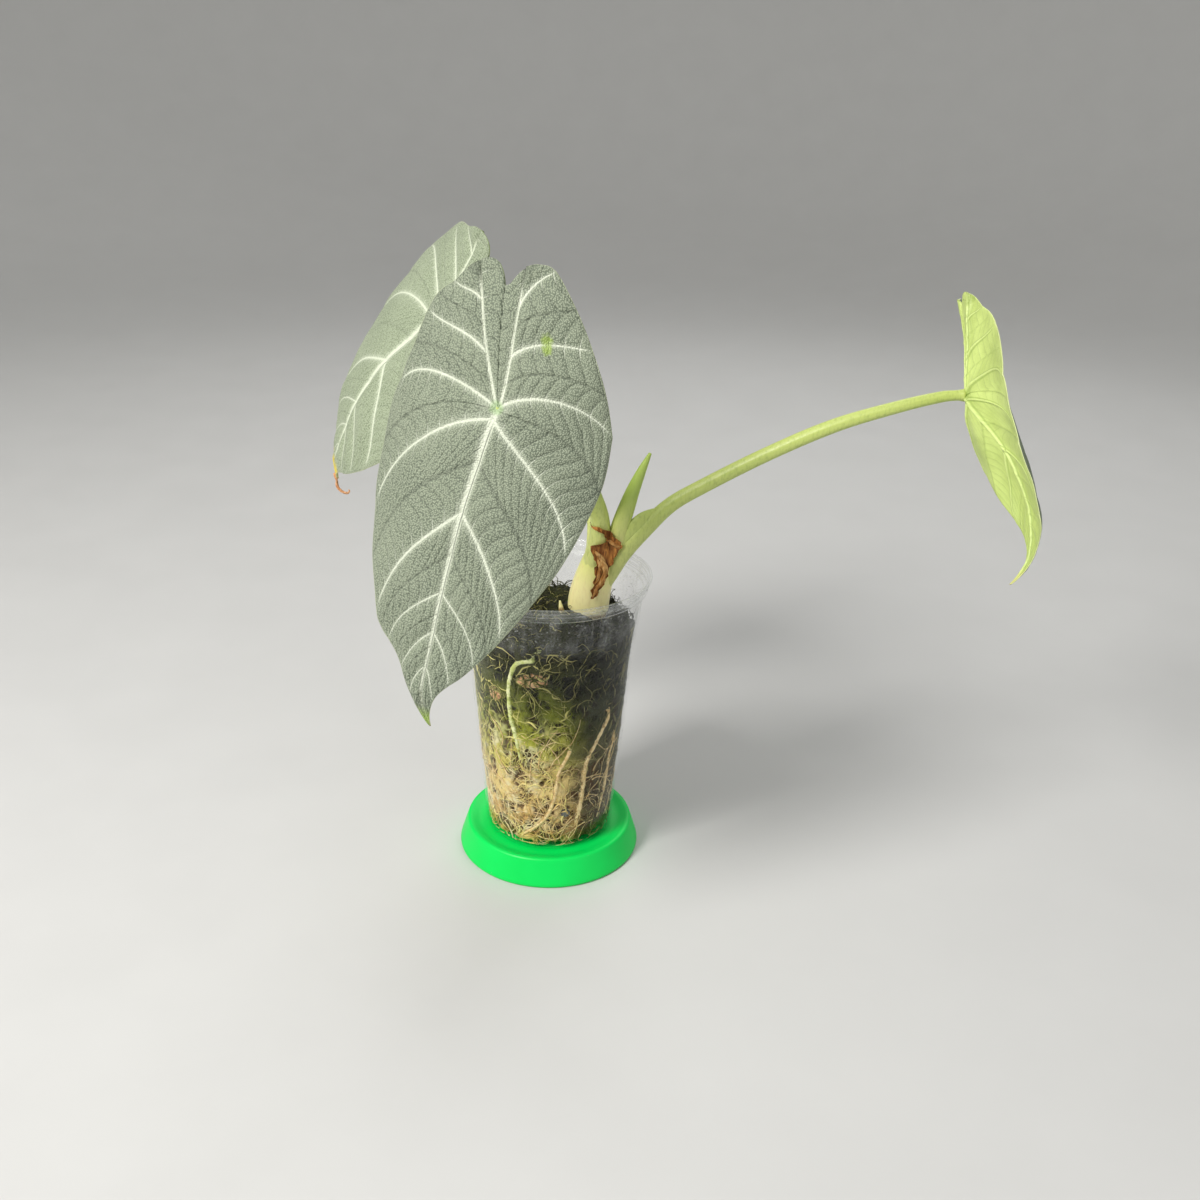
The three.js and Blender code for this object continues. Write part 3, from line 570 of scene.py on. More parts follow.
def vein_masks(finish):
    """Masks of a leaf's veins, from its mesh's own measures."""
    primary, spine, phase = finish.parts(finish.attribute("vein_map"))
    flat = finish.attribute("leaf_place")
    across, along, outward = finish.parts(flat)
    panel = finish.attribute("panel", 2)
    fuzz = (finish.noise(flat, 0.8, 2) - 0.5) * 0.8
    lobe_end = finish.fade(along, -43, -36, 0, 1)
    margin = finish.fade(outward, 0.86, 0.99)
    branches = finish.fade(primary + fuzz, 0.2, 0.85) * margin
    midrib = finish.fade(spine + fuzz, 0.55, 1.15) * lobe_end
    soft_branches = finish.fade(primary + fuzz, 0.3, 2.6) * margin
    soft_midrib = finish.fade(spine + fuzz, 0.6, 2.1) * lobe_end
    wander = (finish.noise(flat, 2.2, 2) - 0.5) * 0.16
    return {
        "across": across, "along": along, "outward": outward, "level": finish.stretch(flat, (1, 1, 0)),
        "primary": primary, "spine": spine, "panel": panel,
        "veins": finish.math("MAXIMUM", branches, midrib),
        "flush": finish.math("MAXIMUM", soft_branches, soft_midrib),
        "side_veins": finish.stripes(phase + wander, 0.06), "creases": finish.stripes(phase + wander, 0.16),
        "middle": finish.fade(panel + wander * 0.12, 0.468, 0.492, 0, 1),
        "near_vein": finish.fade(panel, 0.02, 0.24),
    }


def leaf_upper_finish(name, hollow, top, vein, paleness, contrast=1, scarred=False, dying=False):
    """Pebbled velvet face with pale veins, painted shade in the creases over most of the side veins and along
    the middle of each panel, a painted shadow beside the midrib, and a painted highlight along the margin.
    The pebbles have painted shade in their hollows and painted light on their tops.
    paleness is that of the velvet near the veins, and contrast that of the creases' painted shade and of the
    pebbles' relief.
    A scarred one has a small green scar and a dying one a yellow tip."""
    finish = Finish(name, {"Specular IOR Level": 0.42, "Sheen Weight": 0.1, "Sheen Roughness": 0.5})
    mask = vein_masks(finish)
    level = mask["level"]
    pebbles = finish.cells(level, 0.66, "F1", "2D")
    dome = finish.fade(pebbles, 0.0, 0.75)
    broad = finish.noise(level, 24, 3)
    grain = finish.noise(level, 1.9, 3, 0.6)
    # Painted shade in the creases: over the side veins and along the middle of each panel.
    crease_shade = finish.mix(0.55, hollow, (0, 0, 0))
    # The pebbles' hollows take the dark tone and their domed tops the pale one: painted shade and painted
    # light of the relief.
    tint = finish.mix(0.12 + dome * finish.fade(grain, 0.3, 0.7, 0.78, 0.95), hollow, top)
    tint = finish.mix(finish.fade(broad, 0.35, 0.75, 0, 0.3), tint, top)
    tint = finish.mix(mask["creases"] * 0.06 * contrast, tint, crease_shade)
    tint = finish.mix(mask["side_veins"] * 0.34 * contrast, tint, crease_shade)
    tint = finish.mix(mask["middle"] * 0.3 * contrast, tint, crease_shade)
    tint = finish.mix(mask["side_veins"] * mask["near_vein"] * 0.75, tint, vein)
    tint = finish.mix(mask["flush"] * (paleness * 0.7 + dome * paleness * 0.5), tint, vein)
    tint = finish.mix(mask["veins"] * 0.92, tint, vein)
    along = mask["along"]
    across = mask["across"]
    # Painted shadow along the right side of the midrib's groove.
    midrib_shadow = finish.near(across + along * 0.004, 0.7, 0.1, 0.4)
    tint = finish.mix(midrib_shadow * finish.fade(along, 3, 9, 0, 0.7), tint, crease_shade)
    heart = finish.fade(across * across + along * along, 1, 10)
    tint = finish.mix(heart * 0.65, tint, (140, 176, 112))
    tip_start = 102 if dying else 109
    tip = finish.fade(along, tip_start, tip_start + 6, 0, 0.9)
    tint = finish.mix(tip, tint, (230, 206, 40) if dying else (160, 186, 84))
    # Painted highlight: a pale line along the margin, where the edge catches the light.
    tint = finish.mix(finish.fade(mask["outward"], 0.984, 0.998, 0, 0.8), tint, (190, 200, 162))
    if scarred:
        scar = (across - SCAR[0]) ** 2 + (along - SCAR[1]) ** 2 * 0.35 + (grain - 0.5) * 12
        tint = finish.mix(finish.fade(scar, 1, 6, 0.75, 0), tint, (150, 176, 70))
    finish.set(Base_Color=tint, Roughness=finish.fade(dome, 0, 1, 0.66, 0.42))
    grooves = mask["creases"] * 0.07 + mask["side_veins"] * 0.06 + mask["middle"] * 0.14
    finish.relief(dome * 0.2 * contrast - grooves - mask["veins"] * 0.12 + grain * 0.12)
    return finish


def leaf_under_finish(name, shade, light, rib, edge):
    """Smooth dull face with low ribs, each between two thin lines of painted shade. Painted shade darkens it
    towards the tip, and a painted highlight runs along its margin.
    """
    finish = Finish(name, {"Specular IOR Level": 0.45, "Sheen Weight": 0.05})
    mask = vein_masks(finish)
    level = mask["level"]
    net = finish.cells(level, 1.6, "DISTANCE_TO_EDGE", "2D")
    broad = finish.noise(level, 22, 3)
    grain = finish.noise(level, 0.8, 3)
    beside = finish.near(mask["primary"], 1.15, 0.1, 0.6)
    beside = finish.math("MAXIMUM", beside, finish.near(mask["spine"], 1.3, 0.1, 0.5))
    tint = finish.mix(finish.fade(broad, 0.3, 0.7, 0, 1), shade, light)
    tint = finish.mix(finish.fade(net, 0.0, 0.12, 0.2, 0), tint, shade)
    tint = finish.mix(finish.fade(grain, 0.35, 0.7, 0, 0.25), tint, light)
    # Painted shade that darkens the blade towards its tip, where it folds away from the light.
    tint = finish.mix(finish.fade(mask["along"], 20, 90, 0, 0.75), tint, shade)
    tint = finish.mix(mask["side_veins"] * 0.4, tint, edge)
    tint = finish.mix(mask["middle"] * 0.4, tint, edge)
    tint = finish.mix(mask["veins"] * 0.7, tint, rib)
    # Painted shade in thin lines beside the ribs and the midrib, fading out near the margin.
    tint = finish.mix(beside * finish.fade(mask["outward"], 0.75, 0.95, 0.6, 0), tint, edge)
    tint = finish.mix(finish.fade(mask["along"], 104, 116, 0, 0.6), tint, (222, 214, 130))
    # Painted highlight: a pale line along the margin, where the edge catches the light.
    tint = finish.mix(finish.fade(mask["outward"], 0.982, 0.998, 0, 0.6), tint, (226, 232, 180))
    finish.set(Base_Color=tint, Roughness=finish.fade(grain, 0.3, 0.7, 0.42, 0.55))
    height = mask["side_veins"] * 0.12 + mask["middle"] * 0.1 - beside * 0.08
    finish.relief(height + finish.fade(net, 0, 0.15) * 0.05 + grain * 0.04, 0.8)
    return finish


def rod_finish(name, low, high, fleck, fleck_amount, switch, ring=None):
    """Fleshy stalk: its colour runs from low to high along its length, with fine lengthwise flecks.
    switch is the length over which it changes, and ring the place and half width of a brown scar."""
    finish = Finish(name, {
        "Specular IOR Level": 0.45, "Coat Weight": 0.08, "Coat Roughness": 0.3, "Subsurface Weight": 0.08,
        "Subsurface Radius": (0.6, 0.8, 0.3), "Subsurface Scale": MM,
    })
    along = finish.attribute("along", 2)
    place = finish.place()
    streak = finish.noise(finish.stretch(place, (1, 1, 0.28)), 0.9, 4)
    broad = finish.noise(place, 14, 2)
    dashes = finish.cells(finish.stretch(place, (1, 1, 0.55)), 1.1)
    tint = finish.mix(finish.fade(along + (broad - 0.5) * 12, switch[0], switch[1], 0, 1), low, high)
    tint = finish.mix(finish.fade(streak, 0.45, 0.75, 0, fleck_amount), tint, fleck)
    dark_fleck = finish.mix(0.5, fleck, (0, 0, 0))
    tint = finish.mix(finish.fade(dashes, 0.0, 0.3, 0.35 * fleck_amount, 0), tint, dark_fleck)
    tint = finish.mix(finish.fade(broad, 0.55, 0.8, 0, 0.3), tint, low)
    if ring is not None:
        scar = finish.near(along + (streak - 0.5) * 2, ring[0], 0.2, ring[1], 0.75)
        tint = finish.mix(scar, tint, (140, 96, 48))
    finish.set(Base_Color=tint, Roughness=finish.fade(streak, 0.3, 0.8, 0.36, 0.54))
    finish.relief(streak * 0.12 + dashes * 0.03, 0.6)
    return finish


def moss_finish(name, lightness, fine):
    """Moss, dark green at the top and straw and brown at the foot, with painted shade over its right side.
    A fine one is for strands and takes each strand's own tint. The other has painted shade in its hollows,
    darker with depth."""
    finish = Finish(name, {"Specular IOR Level": 0.3})
    place = finish.place()
    across, _, height = finish.parts(place)
    patch = finish.noise(place, 15, 4, 0.6)
    speck = finish.noise(place, 1.6 if fine else 2.6, 4, 0.65)
    level = height + (patch - 0.5) * 40 + (speck - 0.5) * 14
    tint = finish.ramp((level - 10) / 115, [
        (0.0, (246, 218, 136)), (0.09, (206, 164, 92)), (0.2, (238, 208, 134)),
        (0.32, (232, 208, 136)), (0.43, (206, 196, 100)), (0.55, (154, 160, 42)),
        (0.67, (104, 112, 26)), (0.79, (62, 66, 18)), (1.0, (42, 42, 14)),
    ])
    # Painted shade over the right side of the moss.
    shadow = finish.fade(across + (patch - 0.5) * 24, 2, 20, 0, 0.86)
    tint = finish.mix(shadow, tint, (20, 20, 5))
    cream = finish.noise(place, 7, 3, 0.6)
    low = finish.fade(height, 88, 62, 0, 1) * finish.fade(across, 14, -8, 0, 1)
    tint = finish.mix(finish.fade(cream, 0.45, 0.62, 0, 0.7) * low, tint, (236, 230, 190))
    if fine:
        own = finish.attribute("tint", 2)
        bright = finish.fade(own, 0.55, 1, 0, 0.9) * (1 - shadow * 0.8)
        tint = finish.mix(bright, tint, (238, 228, 146))
        tint = finish.mix(finish.fade(own, 0.35, 0, 0, 0.55), tint, (60, 70, 18))
    else:
        # Painted shade in the moss's hollows, deepening with depth: brown low in the cup and almost black
        # higher up.
        deep_shade = finish.mix(finish.fade(height, 45, 95, 0, 1), (104, 74, 32), (14, 14, 4))
        tint = finish.mix(finish.fade(finish.attribute("depth", 2), 0.15, 0.7, 0, 0.93), tint, deep_shade)
    tint = finish.mix(1 - lightness, tint, (0, 0, 0))
    finish.set(Base_Color=tint, Roughness=finish.fade(speck, 0.3, 0.7, 0.5, 0.85))
    finish.relief(speck * 0.7 + finish.noise(place, 0.6, 3) * 0.3, 0.8)
    return finish


def plain_finish(name, shade, light, dark, size, specular, bump, stretch=(1, 1, 1)):
    """Mottled matter such as root skin, bark, stone or dry leaf."""
    finish = Finish(name, {"Specular IOR Level": specular})
    place = finish.stretch(finish.place(), stretch)
    broad = finish.noise(place, size * 4, 3)
    fine = finish.noise(place, size, 5, 0.65)
    tint = finish.mix(finish.fade(broad * 0.5 + fine * 0.5, 0.35, 0.65, 0, 1), shade, light)
    tint = finish.mix(finish.fade(finish.noise(place, size * 1.7, 4), 0.5, 0.68, 0, 0.75), tint, dark)
    finish.set(Base_Color=tint, Roughness=finish.fade(fine, 0.3, 0.75, 0.45, 0.85))
    finish.relief(fine * bump)
    return finish


def saucer_finish():
    """Bright green plastic with a little dust."""
    finish = Finish("saucer_green_plastic", {
        "Specular IOR Level": 0.25, "Coat Weight": 0.05, "Coat Roughness": 0.3,
    })
    place = finish.place()
    haze = finish.noise(place, 20, 3)
    grain = finish.noise(place, 0.35, 2)
    dust = finish.cells(place, 5.5)
    rings = finish.stripes(finish.parts(place)[2] / 0.6, 0.3)
    tint = finish.mix(haze, (0, 214, 84), (0, 232, 98))
    tint = finish.mix(finish.fade(dust, 0.02, 0.06, 0.4, 0), tint, (150, 230, 170))
    finish.set(Base_Color=tint, Roughness=finish.fade(haze, 0.3, 0.7, 0.36, 0.48))
    finish.relief(grain * 0.03 + rings * 0.015, 0.7)
    return finish


def cup_finish():
    """Clear moulded plastic: it mirrors at its edges, and mist, water marks and drops turn it white."""
    finish = Finish("cup_clear_plastic", {
        "Specular IOR Level": 0.6, "IOR": 1.5, "Base Color": (0.9, 0.92, 0.91, 1),
    })
    place = finish.place()
    height = finish.parts(place)[2]
    streaks = finish.noise(finish.stretch(place, (1, 1, 0.14)), 3.0, 4, 0.65)
    fog = finish.noise(place, 9, 4, 0.6)
    spots = finish.cells(place, 2.2)
    above = finish.fade(height, 112, 120, 0, 1)
    mist = finish.fade(fog, 0.42, 0.7, 0, 1) * finish.fade(streaks, 0.35, 0.65, 0.1, 1)
    drops = finish.fade(spots, 0.12, 0.22) * finish.fade(fog, 0.4, 0.6, 0, 1)
    ridges = finish.stripes((height - 133.6) / 1.9, 0.22) * finish.fade(height, 132.6, 133.2, 0, 1)
    haze = mist * (0.01 + above * 0.1) + above * (0.012 + 0.04 * finish.fade(streaks, 0.45, 0.7, 0, 1))
    haze = haze + drops * (0.03 + above * 0.16) + ridges * 0.2 + finish.fade(height, 132.2, 133.5, 0, 0.03)
    facing = finish.node("LayerWeight", None, {"Blend": 0.5}, 1)
    mirror = facing ** 4 * 0.42 + 0.008
    alpha = finish.math("MINIMUM", haze + mirror, 0.9)
    metal = finish.fade(haze / (alpha + 0.001), 0.1, 0.9)
    finish.set(Alpha=alpha, Metallic=metal, Roughness=0.07 + mist * 0.3)
    finish.relief(drops * 0.12 + fog * 0.1 + streaks * 0.05, 0.4)
    return finish


def dew_finish():
    """Beads of water, almost clear."""
    finish = Finish("dew", {
        "Base Color": (0.93, 0.95, 0.95, 1), "Roughness": 0.05, "Specular IOR Level": 0.9, "Coat Weight": 0.5,
    })
    fog = finish.noise(finish.place(), 1.2, 2)
    finish.set(Alpha=finish.fade(fog, 0.2, 0.8, 0.08, 0.3))
    return finish


SAUCER = saucer_finish()
CUP = cup_finish()
DEW = dew_finish()
MOSS_CORE = moss_finish("moss_packed", 0.9, False)
MOSS_STRAND = moss_finish("moss_strand", 1.0, True)
ROOT = plain_finish("root_skin", (214, 182, 116), (244, 224, 172), (170, 132, 74),
                    1.1, 0.4, 0.12)
ROOT_GREEN = plain_finish("root_skin_green", (190, 200, 110), (232, 234, 184),
                          (140, 158, 60), 1.1, 0.4, 0.12)
BARK = plain_finish("bark_chip", (190, 134, 92), (240, 204, 160), (150, 140, 50),
                    1.3, 0.3, 0.5, (1, 1, 0.5))
STONE = plain_finish("pebble_stone", (86, 86, 84), (128, 128, 124), (60, 58, 56),
                     0.7, 0.4, 0.25)
DRY = plain_finish("dry_sheath_paper", (112, 62, 22), (206, 142, 74), (74, 38, 14),
                   1.4, 0.25, 0.45, (1.6, 1.6, 0.3))
SHRIVEL = plain_finish("shrivelled_tip", (190, 128, 84), (232, 182, 138), (130, 80, 44),
                       0.8, 0.3, 0.3)
CURLED = plain_finish("curled_sheath_paper", (176, 116, 52), (232, 190, 126),
                      (120, 66, 26), 1.0, 0.25, 0.4, (1.4, 1.4, 0.4))
FRONT_TOP = leaf_upper_finish("front_leaf_upper", (88, 98, 82), (162, 171, 147),
                              (220, 226, 206), 0.34, scarred=True)
BACK_TOP = leaf_upper_finish("back_leaf_upper", (116, 128, 102), (176, 187, 158),
                             (220, 228, 204), 0.4, 0.5, dying=True)
RIGHT_TOP = leaf_upper_finish("right_leaf_upper", (96, 112, 84), (150, 164, 134),
                              (204, 216, 184), 0.3)
DARK_UNDER = leaf_under_finish("leaf_under", (132, 150, 96), (170, 184, 130),
                               (196, 206, 154), (108, 128, 76))
# The right leaf's underside: its own paler tone, with painted light where the key light falls on it and
# shines through it, in a paler copy of the underside finish.
PALE_LIT_UNDER = leaf_under_finish("right_leaf_under", (176, 194, 108), (212, 230, 138),
                               (220, 236, 152), (150, 172, 86))
STALK = rod_finish("stalk_skin", (216, 220, 138), (190, 204, 114), (136, 156, 74),
                   0.4, (0, 50))
STEM = rod_finish("stem_base_skin", (255, 244, 178), (224, 230, 130), (228, 206, 138),
                  0.3, (22, 44), ring=(14.2, 1.5))
SPEAR = rod_finish("new_leaf_skin", (214, 216, 136), (168, 190, 92), (132, 160, 62),
                   0.3, (6, 34))


# Leaves

def lobe_vein(side, along):
    """Distance of a lobe's vein from the centre line."""
    return LOBE_SPREAD[side] * np.clip(-along / LOBE, 0, None) ** LOBE_POWER[side]


def row_point(side, row, t):
    """Places on one half of the flat leaf: row 0 to 9, t 0 at the spine and 1 at the margin."""
    start_along = smooth_curve(VEIN_START, row, 1)
    start_along = np.where(start_along < 0, start_along * LOBE_END[side] / LOBE, start_along)
    start = np.stack([lobe_vein(side, start_along), start_along])
    end = np.stack([smooth_curve(MARGIN[side], row, column) for column in (1, 2)])
    reach = 0.35 * np.hypot(*(end - start))

    def step(angles):
        turn = np.radians(np.interp(row, ROWS, angles[side]))
        return reach * np.stack([np.cos(turn), np.sin(turn)])

    stops = [start, start + step(VEIN_LEAVE), end - step(VEIN_END), end]
    weights = [(1 - t) ** 3, 3 * t * (1 - t) ** 2, 3 * t**2 * (1 - t), t**3]
    return sum(weight * stop for weight, stop in zip(weights, stops))


def leaf_axes(leaf):
    """Directions out of the upper face, along the leaf and across it."""
    facing, tilt, roll = np.radians([leaf["facing"], leaf["tilt"], leaf["roll"]])
    out = np.array([math.sin(facing) * math.cos(tilt), -math.cos(facing) * math.cos(tilt), math.sin(tilt)])
    down = unit(np.array([0, 0, -1]) + out * out[2])
    side = np.cross(out, down)
    along = down * math.cos(roll) - side * math.sin(roll)
    across = side * math.cos(roll) + down * math.sin(roll)
    return out, along, across


def bend_leaf(leaf, side, flat_across, flat_along, lift):
    """Places of flat points on the bent leaf, raised by lift towards the upper face."""
    number = 0 if side == "right" else 1
    sign = 1 - 2 * number
    out, along_axis, across_axis = leaf_axes(leaf)
    off_centre = 1 - np.exp(-((flat_across / LOBE_BLEND) ** 2))
    lengths = leaf["lobe_length"]
    lobe_length = lengths[1] + (lengths[number] - lengths[1]) * off_centre
    along = np.where(flat_along < 0, flat_along * lobe_length, flat_along)
    back = np.clip(-along, 0, None)
    front = np.clip(along, 0, None)
    bow = leaf["bow"] * np.sin(np.pi / 2 * np.clip(front / BOW_END, 0, 1))
    hook = leaf["hook"] * np.clip((along - HOOK_START) / (TIP - HOOK_START), 0, None) ** 2
    t = front / TIP
    width = leaf["width"][number] * (1 + leaf["fullness"][number] * t**3)
    u = leaf["size"] * (sign * flat_across * width + leaf["lobe_shift"] * back + bow + hook)
    blend = np.clip((along + 30) / 90, 0, 1)

    def by_half(lobe, tip):
        values = [leaf[lobe][half] + (leaf[tip][half] - leaf[lobe][half]) * blend for half in (0, 1)]
        return np.where(u < 0, values[1], values[0])

    curl = by_half("curl_lobe", "curl_tip") + 1e-7
    fold = by_half("fold_lobe", "fold_tip")
    turn = np.radians(np.sign(u) * fold) * (1 - np.exp(-((u / FOLD_WIDTH) ** 2)))
    q = back / (LOBE + 1)
    bend = leaf["droop"][0] * t**2 + leaf["droop"][1] * t**3 - leaf["lobe_bend"] * q**2
    bend = bend + 25 * leaf["tip_bend"] * np.clip(t - 0.8, 0, None) ** 2
    flat_x = np.sin(curl * u) / curl + lift * np.sin(curl * u)
    flat_y = (np.cos(curl * u) - 1) / curl + lift * np.cos(curl * u)
    x = flat_x * np.cos(turn) - flat_y * np.sin(turn)
    y = flat_x * np.sin(turn) + flat_y * np.cos(turn) + bend
    return (
        np.array(leaf["junction"]) + x[..., None] * across_axis
        + (leaf["size"] * along)[..., None] * along_axis + y[..., None] * out
    )


def side_vein_phase(row, distance, length):
    """Counts the side veins: they leave a main vein squarely and swing outwards."""
    return (length - distance**2 / SIDE_VEIN_SWING) / SIDE_VEIN_SPACING + 0.5 * np.round(row)


def leaf_rows(fineness, veins=9):
    """Row numbers of the grid's rows, from 0 to the number of veins."""
    rows = [0.0]
    for vein, count in enumerate(FINE_ROWS[:veins]):
        steps = int(count * fineness)
        rows += [vein + (k + 1) / steps for k in range(steps)]
    return np.array(rows)


def leaf_half(side, fineness):
    """Grid of one half of the flat leaf, with its measures."""
    rows = leaf_rows(fineness)
    columns = np.linspace(0, 1, int(FINE_COLUMNS * fineness)) ** 1.1
    row, t = np.meshgrid(rows, columns, indexing="ij")
    across, along = row_point(side, row, t)
    steps = np.hypot(np.diff(across, axis=1), np.diff(along, axis=1))
    length = np.concatenate([np.zeros((len(rows), 1)), np.cumsum(steps, axis=1)], axis=1)
    row_across = np.gradient(across, rows, axis=0)
    row_along = np.gradient(along, rows, axis=0)
    out_across = np.gradient(across, columns, axis=1)
    out_along = np.gradient(along, columns, axis=1)
    area = np.abs(row_across * out_along - row_along * out_across)
    width = area / (np.hypot(out_across, out_along) + 1e-6)
    nearest = np.clip(np.round(row), 1, 8)
    away = np.abs(row - nearest)
    strength = np.interp(nearest, ROWS, VEIN_WIDTH)
    distance = away * width
    spine = np.abs(across - lobe_vein(side, along))
    spine = np.where(along > 0, across, spine)
    return {
        "row": row, "t": t, "across": across, "along": along, "distance": distance, "spine": spine,
        "strength": strength * (1.15 - 0.8 * t), "away": np.clip(away, 0, 0.5),
        "phase": side_vein_phase(row, distance, length),
    }


def leaf_wedge(side, fineness):
    """Grid between the lobe vein and the line from the junction to the notch, with its measures."""
    rows = leaf_rows(fineness, 3)
    row, r = np.meshgrid(rows, np.linspace(0, 1, 22) ** 1.6, indexing="ij")
    q = -smooth_curve(VEIN_START, row, 1) / LOBE
    along = -q * (NOTCH + (LOBE_END[side] - NOTCH) * smooth_curve(NOTCH_EDGE[side], r, 1))
    half_width = lobe_vein(side, -LOBE_END[side] * q)
    across = half_width * r
    spine = half_width * (1 - r)
    return {
        "row": row, "t": 0 * r, "across": across, "along": along, "distance": 0 * r + 9, "spine": spine,
        "strength": 0 * r + 1, "away": (1 - r) * 0.49, "q": q, "r": r,
        "phase": side_vein_phase(row, spine, q * LOBE),
    }


def ripples(across, along, seed):
    """Gentle unevenness of a living leaf."""
    broad = 0.5 * np.sin(across / 9 + seed) * np.sin(along / 13 + 2 * seed)
    return broad + 0.25 * np.sin(along / 5 + across / 7)


def leaf_heights(leaf, part, seed, sign, relief):
    """Height of the upper face and thickness added below it, from the quilting, grooves and ribs."""
    size = leaf["size"]
    fraction = part["row"] % 1
    spine = part["spine"] / spine_width(part["along"])
    groove = np.exp(-((part["distance"] / 0.9) ** 2)) * part["strength"]
    spine_groove = np.exp(-(spine**2))
    from_line = np.abs((part["phase"] % 1) - 0.5) * 2
    pillow = (1 - from_line**3) * smooth_step(part["distance"], 0.3, 2.5)
    pillow = pillow * smooth_step(part["spine"], 0.5, 3)
    margin_fade = smooth_step(part["t"], 1.0, 0.93)
    if "q" in part:
        quilt = -0.54 * (1 - part["r"]) * part["q"]
    else:
        quilt = 0.9 * np.sin(np.pi * fraction) ** 2 * np.sin(np.pi * np.clip(part["t"] * 1.1, 0, 1)) ** 0.8
    middle = np.exp(-(((0.5 - part["away"]) * 18) ** 2)) * 0.3
    wave = ripples(sign * part["across"], part["along"], seed)
    lift = quilt + relief * pillow * margin_fade - middle * margin_fade + wave
    lift = lift - 0.32 * groove - 0.5 * spine_groove
    taper = 1 - 0.75 * np.clip(part["along"], 0, None) / TIP
    ribs = 0.85 * np.exp(-((part["distance"] / 0.75) ** 2)) * part["strength"] * taper + 0.3 * groove
    midrib = 1.6 * np.exp(-((part["spine"] / 1.25) ** 2)) * np.where(part["along"] > 0, taper, 0.65)
    added = np.maximum(ribs, midrib)
    return lift * size, added * size


def spine_width(along):
    """Half width of the pale band over the midrib and over the lobe veins."""
    midrib = 1.6 - 1.05 * np.clip(along / TIP, 0, 1)
    lobe = 0.75 + 0.3 * np.clip(along / LOBE, -1, 0)
    return np.where(along > 0, midrib, lobe)


def make_leaf(name, upper_finish, under_finish, seed, fineness, relief):
    """Blade made of two halves, each a grid of vein rows and a wedge beside the notch.
    fineness is the grid's, and relief the height of the pillows between side veins."""
    leaf = LEAVES[name]
    grids = []
    offset = 0
    tables = {"upper": [], "lower": [], "vein_map": [], "leaf_place": [], "panel": []}
    for side in ("right", "left"):
        sign = 1 if side == "right" else -1
        for part in (leaf_half(side, fineness), leaf_wedge(side, fineness)):
            lift, added = leaf_heights(leaf, part, seed, sign, relief)
            edge = 1 - 0.5 * smooth_step(part["t"], 0.96, 1)
            half_thick = THICKNESS / 2 * edge
            upper = bend_leaf(leaf, side, part["across"], part["along"], lift + half_thick)
            lower = bend_leaf(leaf, side, part["across"], part["along"], lift - half_thick - added)
            rows, columns = part["row"].shape
            grids.append(grid_faces(rows, columns, side == "right", offset))
            offset += rows * columns
            tables["upper"].append(upper.reshape(-1, 3))
            tables["lower"].append(lower.reshape(-1, 3))
            spine = part["spine"] / spine_width(part["along"])
            vein_map = [part["distance"] / part["strength"], spine, part["phase"]]
            leaf_place = [sign * part["across"], part["along"], part["t"]]
            for title, measures in (("vein_map", vein_map), ("leaf_place", leaf_place)):
                tables[title].append(np.stack(measures, axis=-1).reshape(-1, 3))
            tables["panel"].append(part["away"].ravel())
    tables = {title: np.concatenate(values) for title, values in tables.items()}
    keys = tables["leaf_place"] * (1, 1, 0)
    _, faces, kept = weld(keys, np.concatenate(grids), tables)
    points, faces, numbers = thicken(kept["upper"], kept["lower"], faces)
    measures = {title: np.concatenate([kept[title]] * 2) for title in ("vein_map", "leaf_place", "panel")}
    finishes = [upper_finish, under_finish]
    make_piece(name + "_blade", points, faces, finishes, [name], numbers, measures)


def make_dry_tip():
    """Dead, curled tip that hangs from the back leaf's yellow end."""
    leaf = LEAVES["leaf_back"]
    x, y, z = bend_leaf(leaf, "right", np.array([0.0]), np.array([TIP - 1.0]), np.array([0.0]))[0]
    path = smooth_path([(x + right, y, z + up, radius) for right, up, radius in DEAD_TIP], 0.25)

    def section(turn, length):
        return 1 + 0.3 * np.cos(3 * turn + length)

    points, faces, _ = tube(path[:, :3], path[:, 3], 16, section)
    make_piece("dry_leaf_tip", points, faces, [SHRIVEL])


make_leaf("leaf_front", FRONT_TOP, DARK_UNDER, 0.4, 1, 0.42)
make_leaf("leaf_back", BACK_TOP, DARK_UNDER, 1.9, 0.72, 0.35)
make_leaf("leaf_right", RIGHT_TOP, PALE_LIT_UNDER, 3.1, 0.72, 0.12)
make_dry_tip()


# Stalks, stem and new leaf

def make_rod(name, path, finish, replaces=(), sides=28, section=None, first=0):
    """Rod with its distance along, which is first at its start."""
    points, faces, along = tube(path[:, :3], path[:, 3], sides, section)
    make_piece(name, points, faces, [finish], replaces, attributes={"along": along + first})


def stalk_section(turn, length):
    """Faint lengthwise ridges and unevenness."""
    ridges = 0.02 * np.cos(7 * turn + length * 0.01) + 0.012 * np.cos(13 * turn + 1)
    return 1 + ridges + 0.015 * np.sin(length / 9)


def wing_section(turn, length):
    """Flat oval, half as thick as it is wide."""
    return 1 / np.hypot(np.cos(turn), np.sin(turn) / 0.5) + 0 * length


def leaf_stalk(name, leaf_name):
    """Stalk path that meets its blade from below and widens into the ribs."""
    leaf = LEAVES[leaf_name]
    out, _, _ = leaf_axes(leaf)
    junction = np.array(leaf["junction"])
    points = [list(point) for point in STALKS[name]]
    reach = unit(np.array(points[-1][:3]) - junction)
    for distance, radius in ((10, 2.3), (4, 2.15), (1.2, 2.6)):
        heading = unit(reach * 0.5 - out * 0.5) if distance > 5 else unit(reach * 0.3 - out * 0.7)
        points.append([*(junction + heading * distance), radius])
    return smooth_path(points)


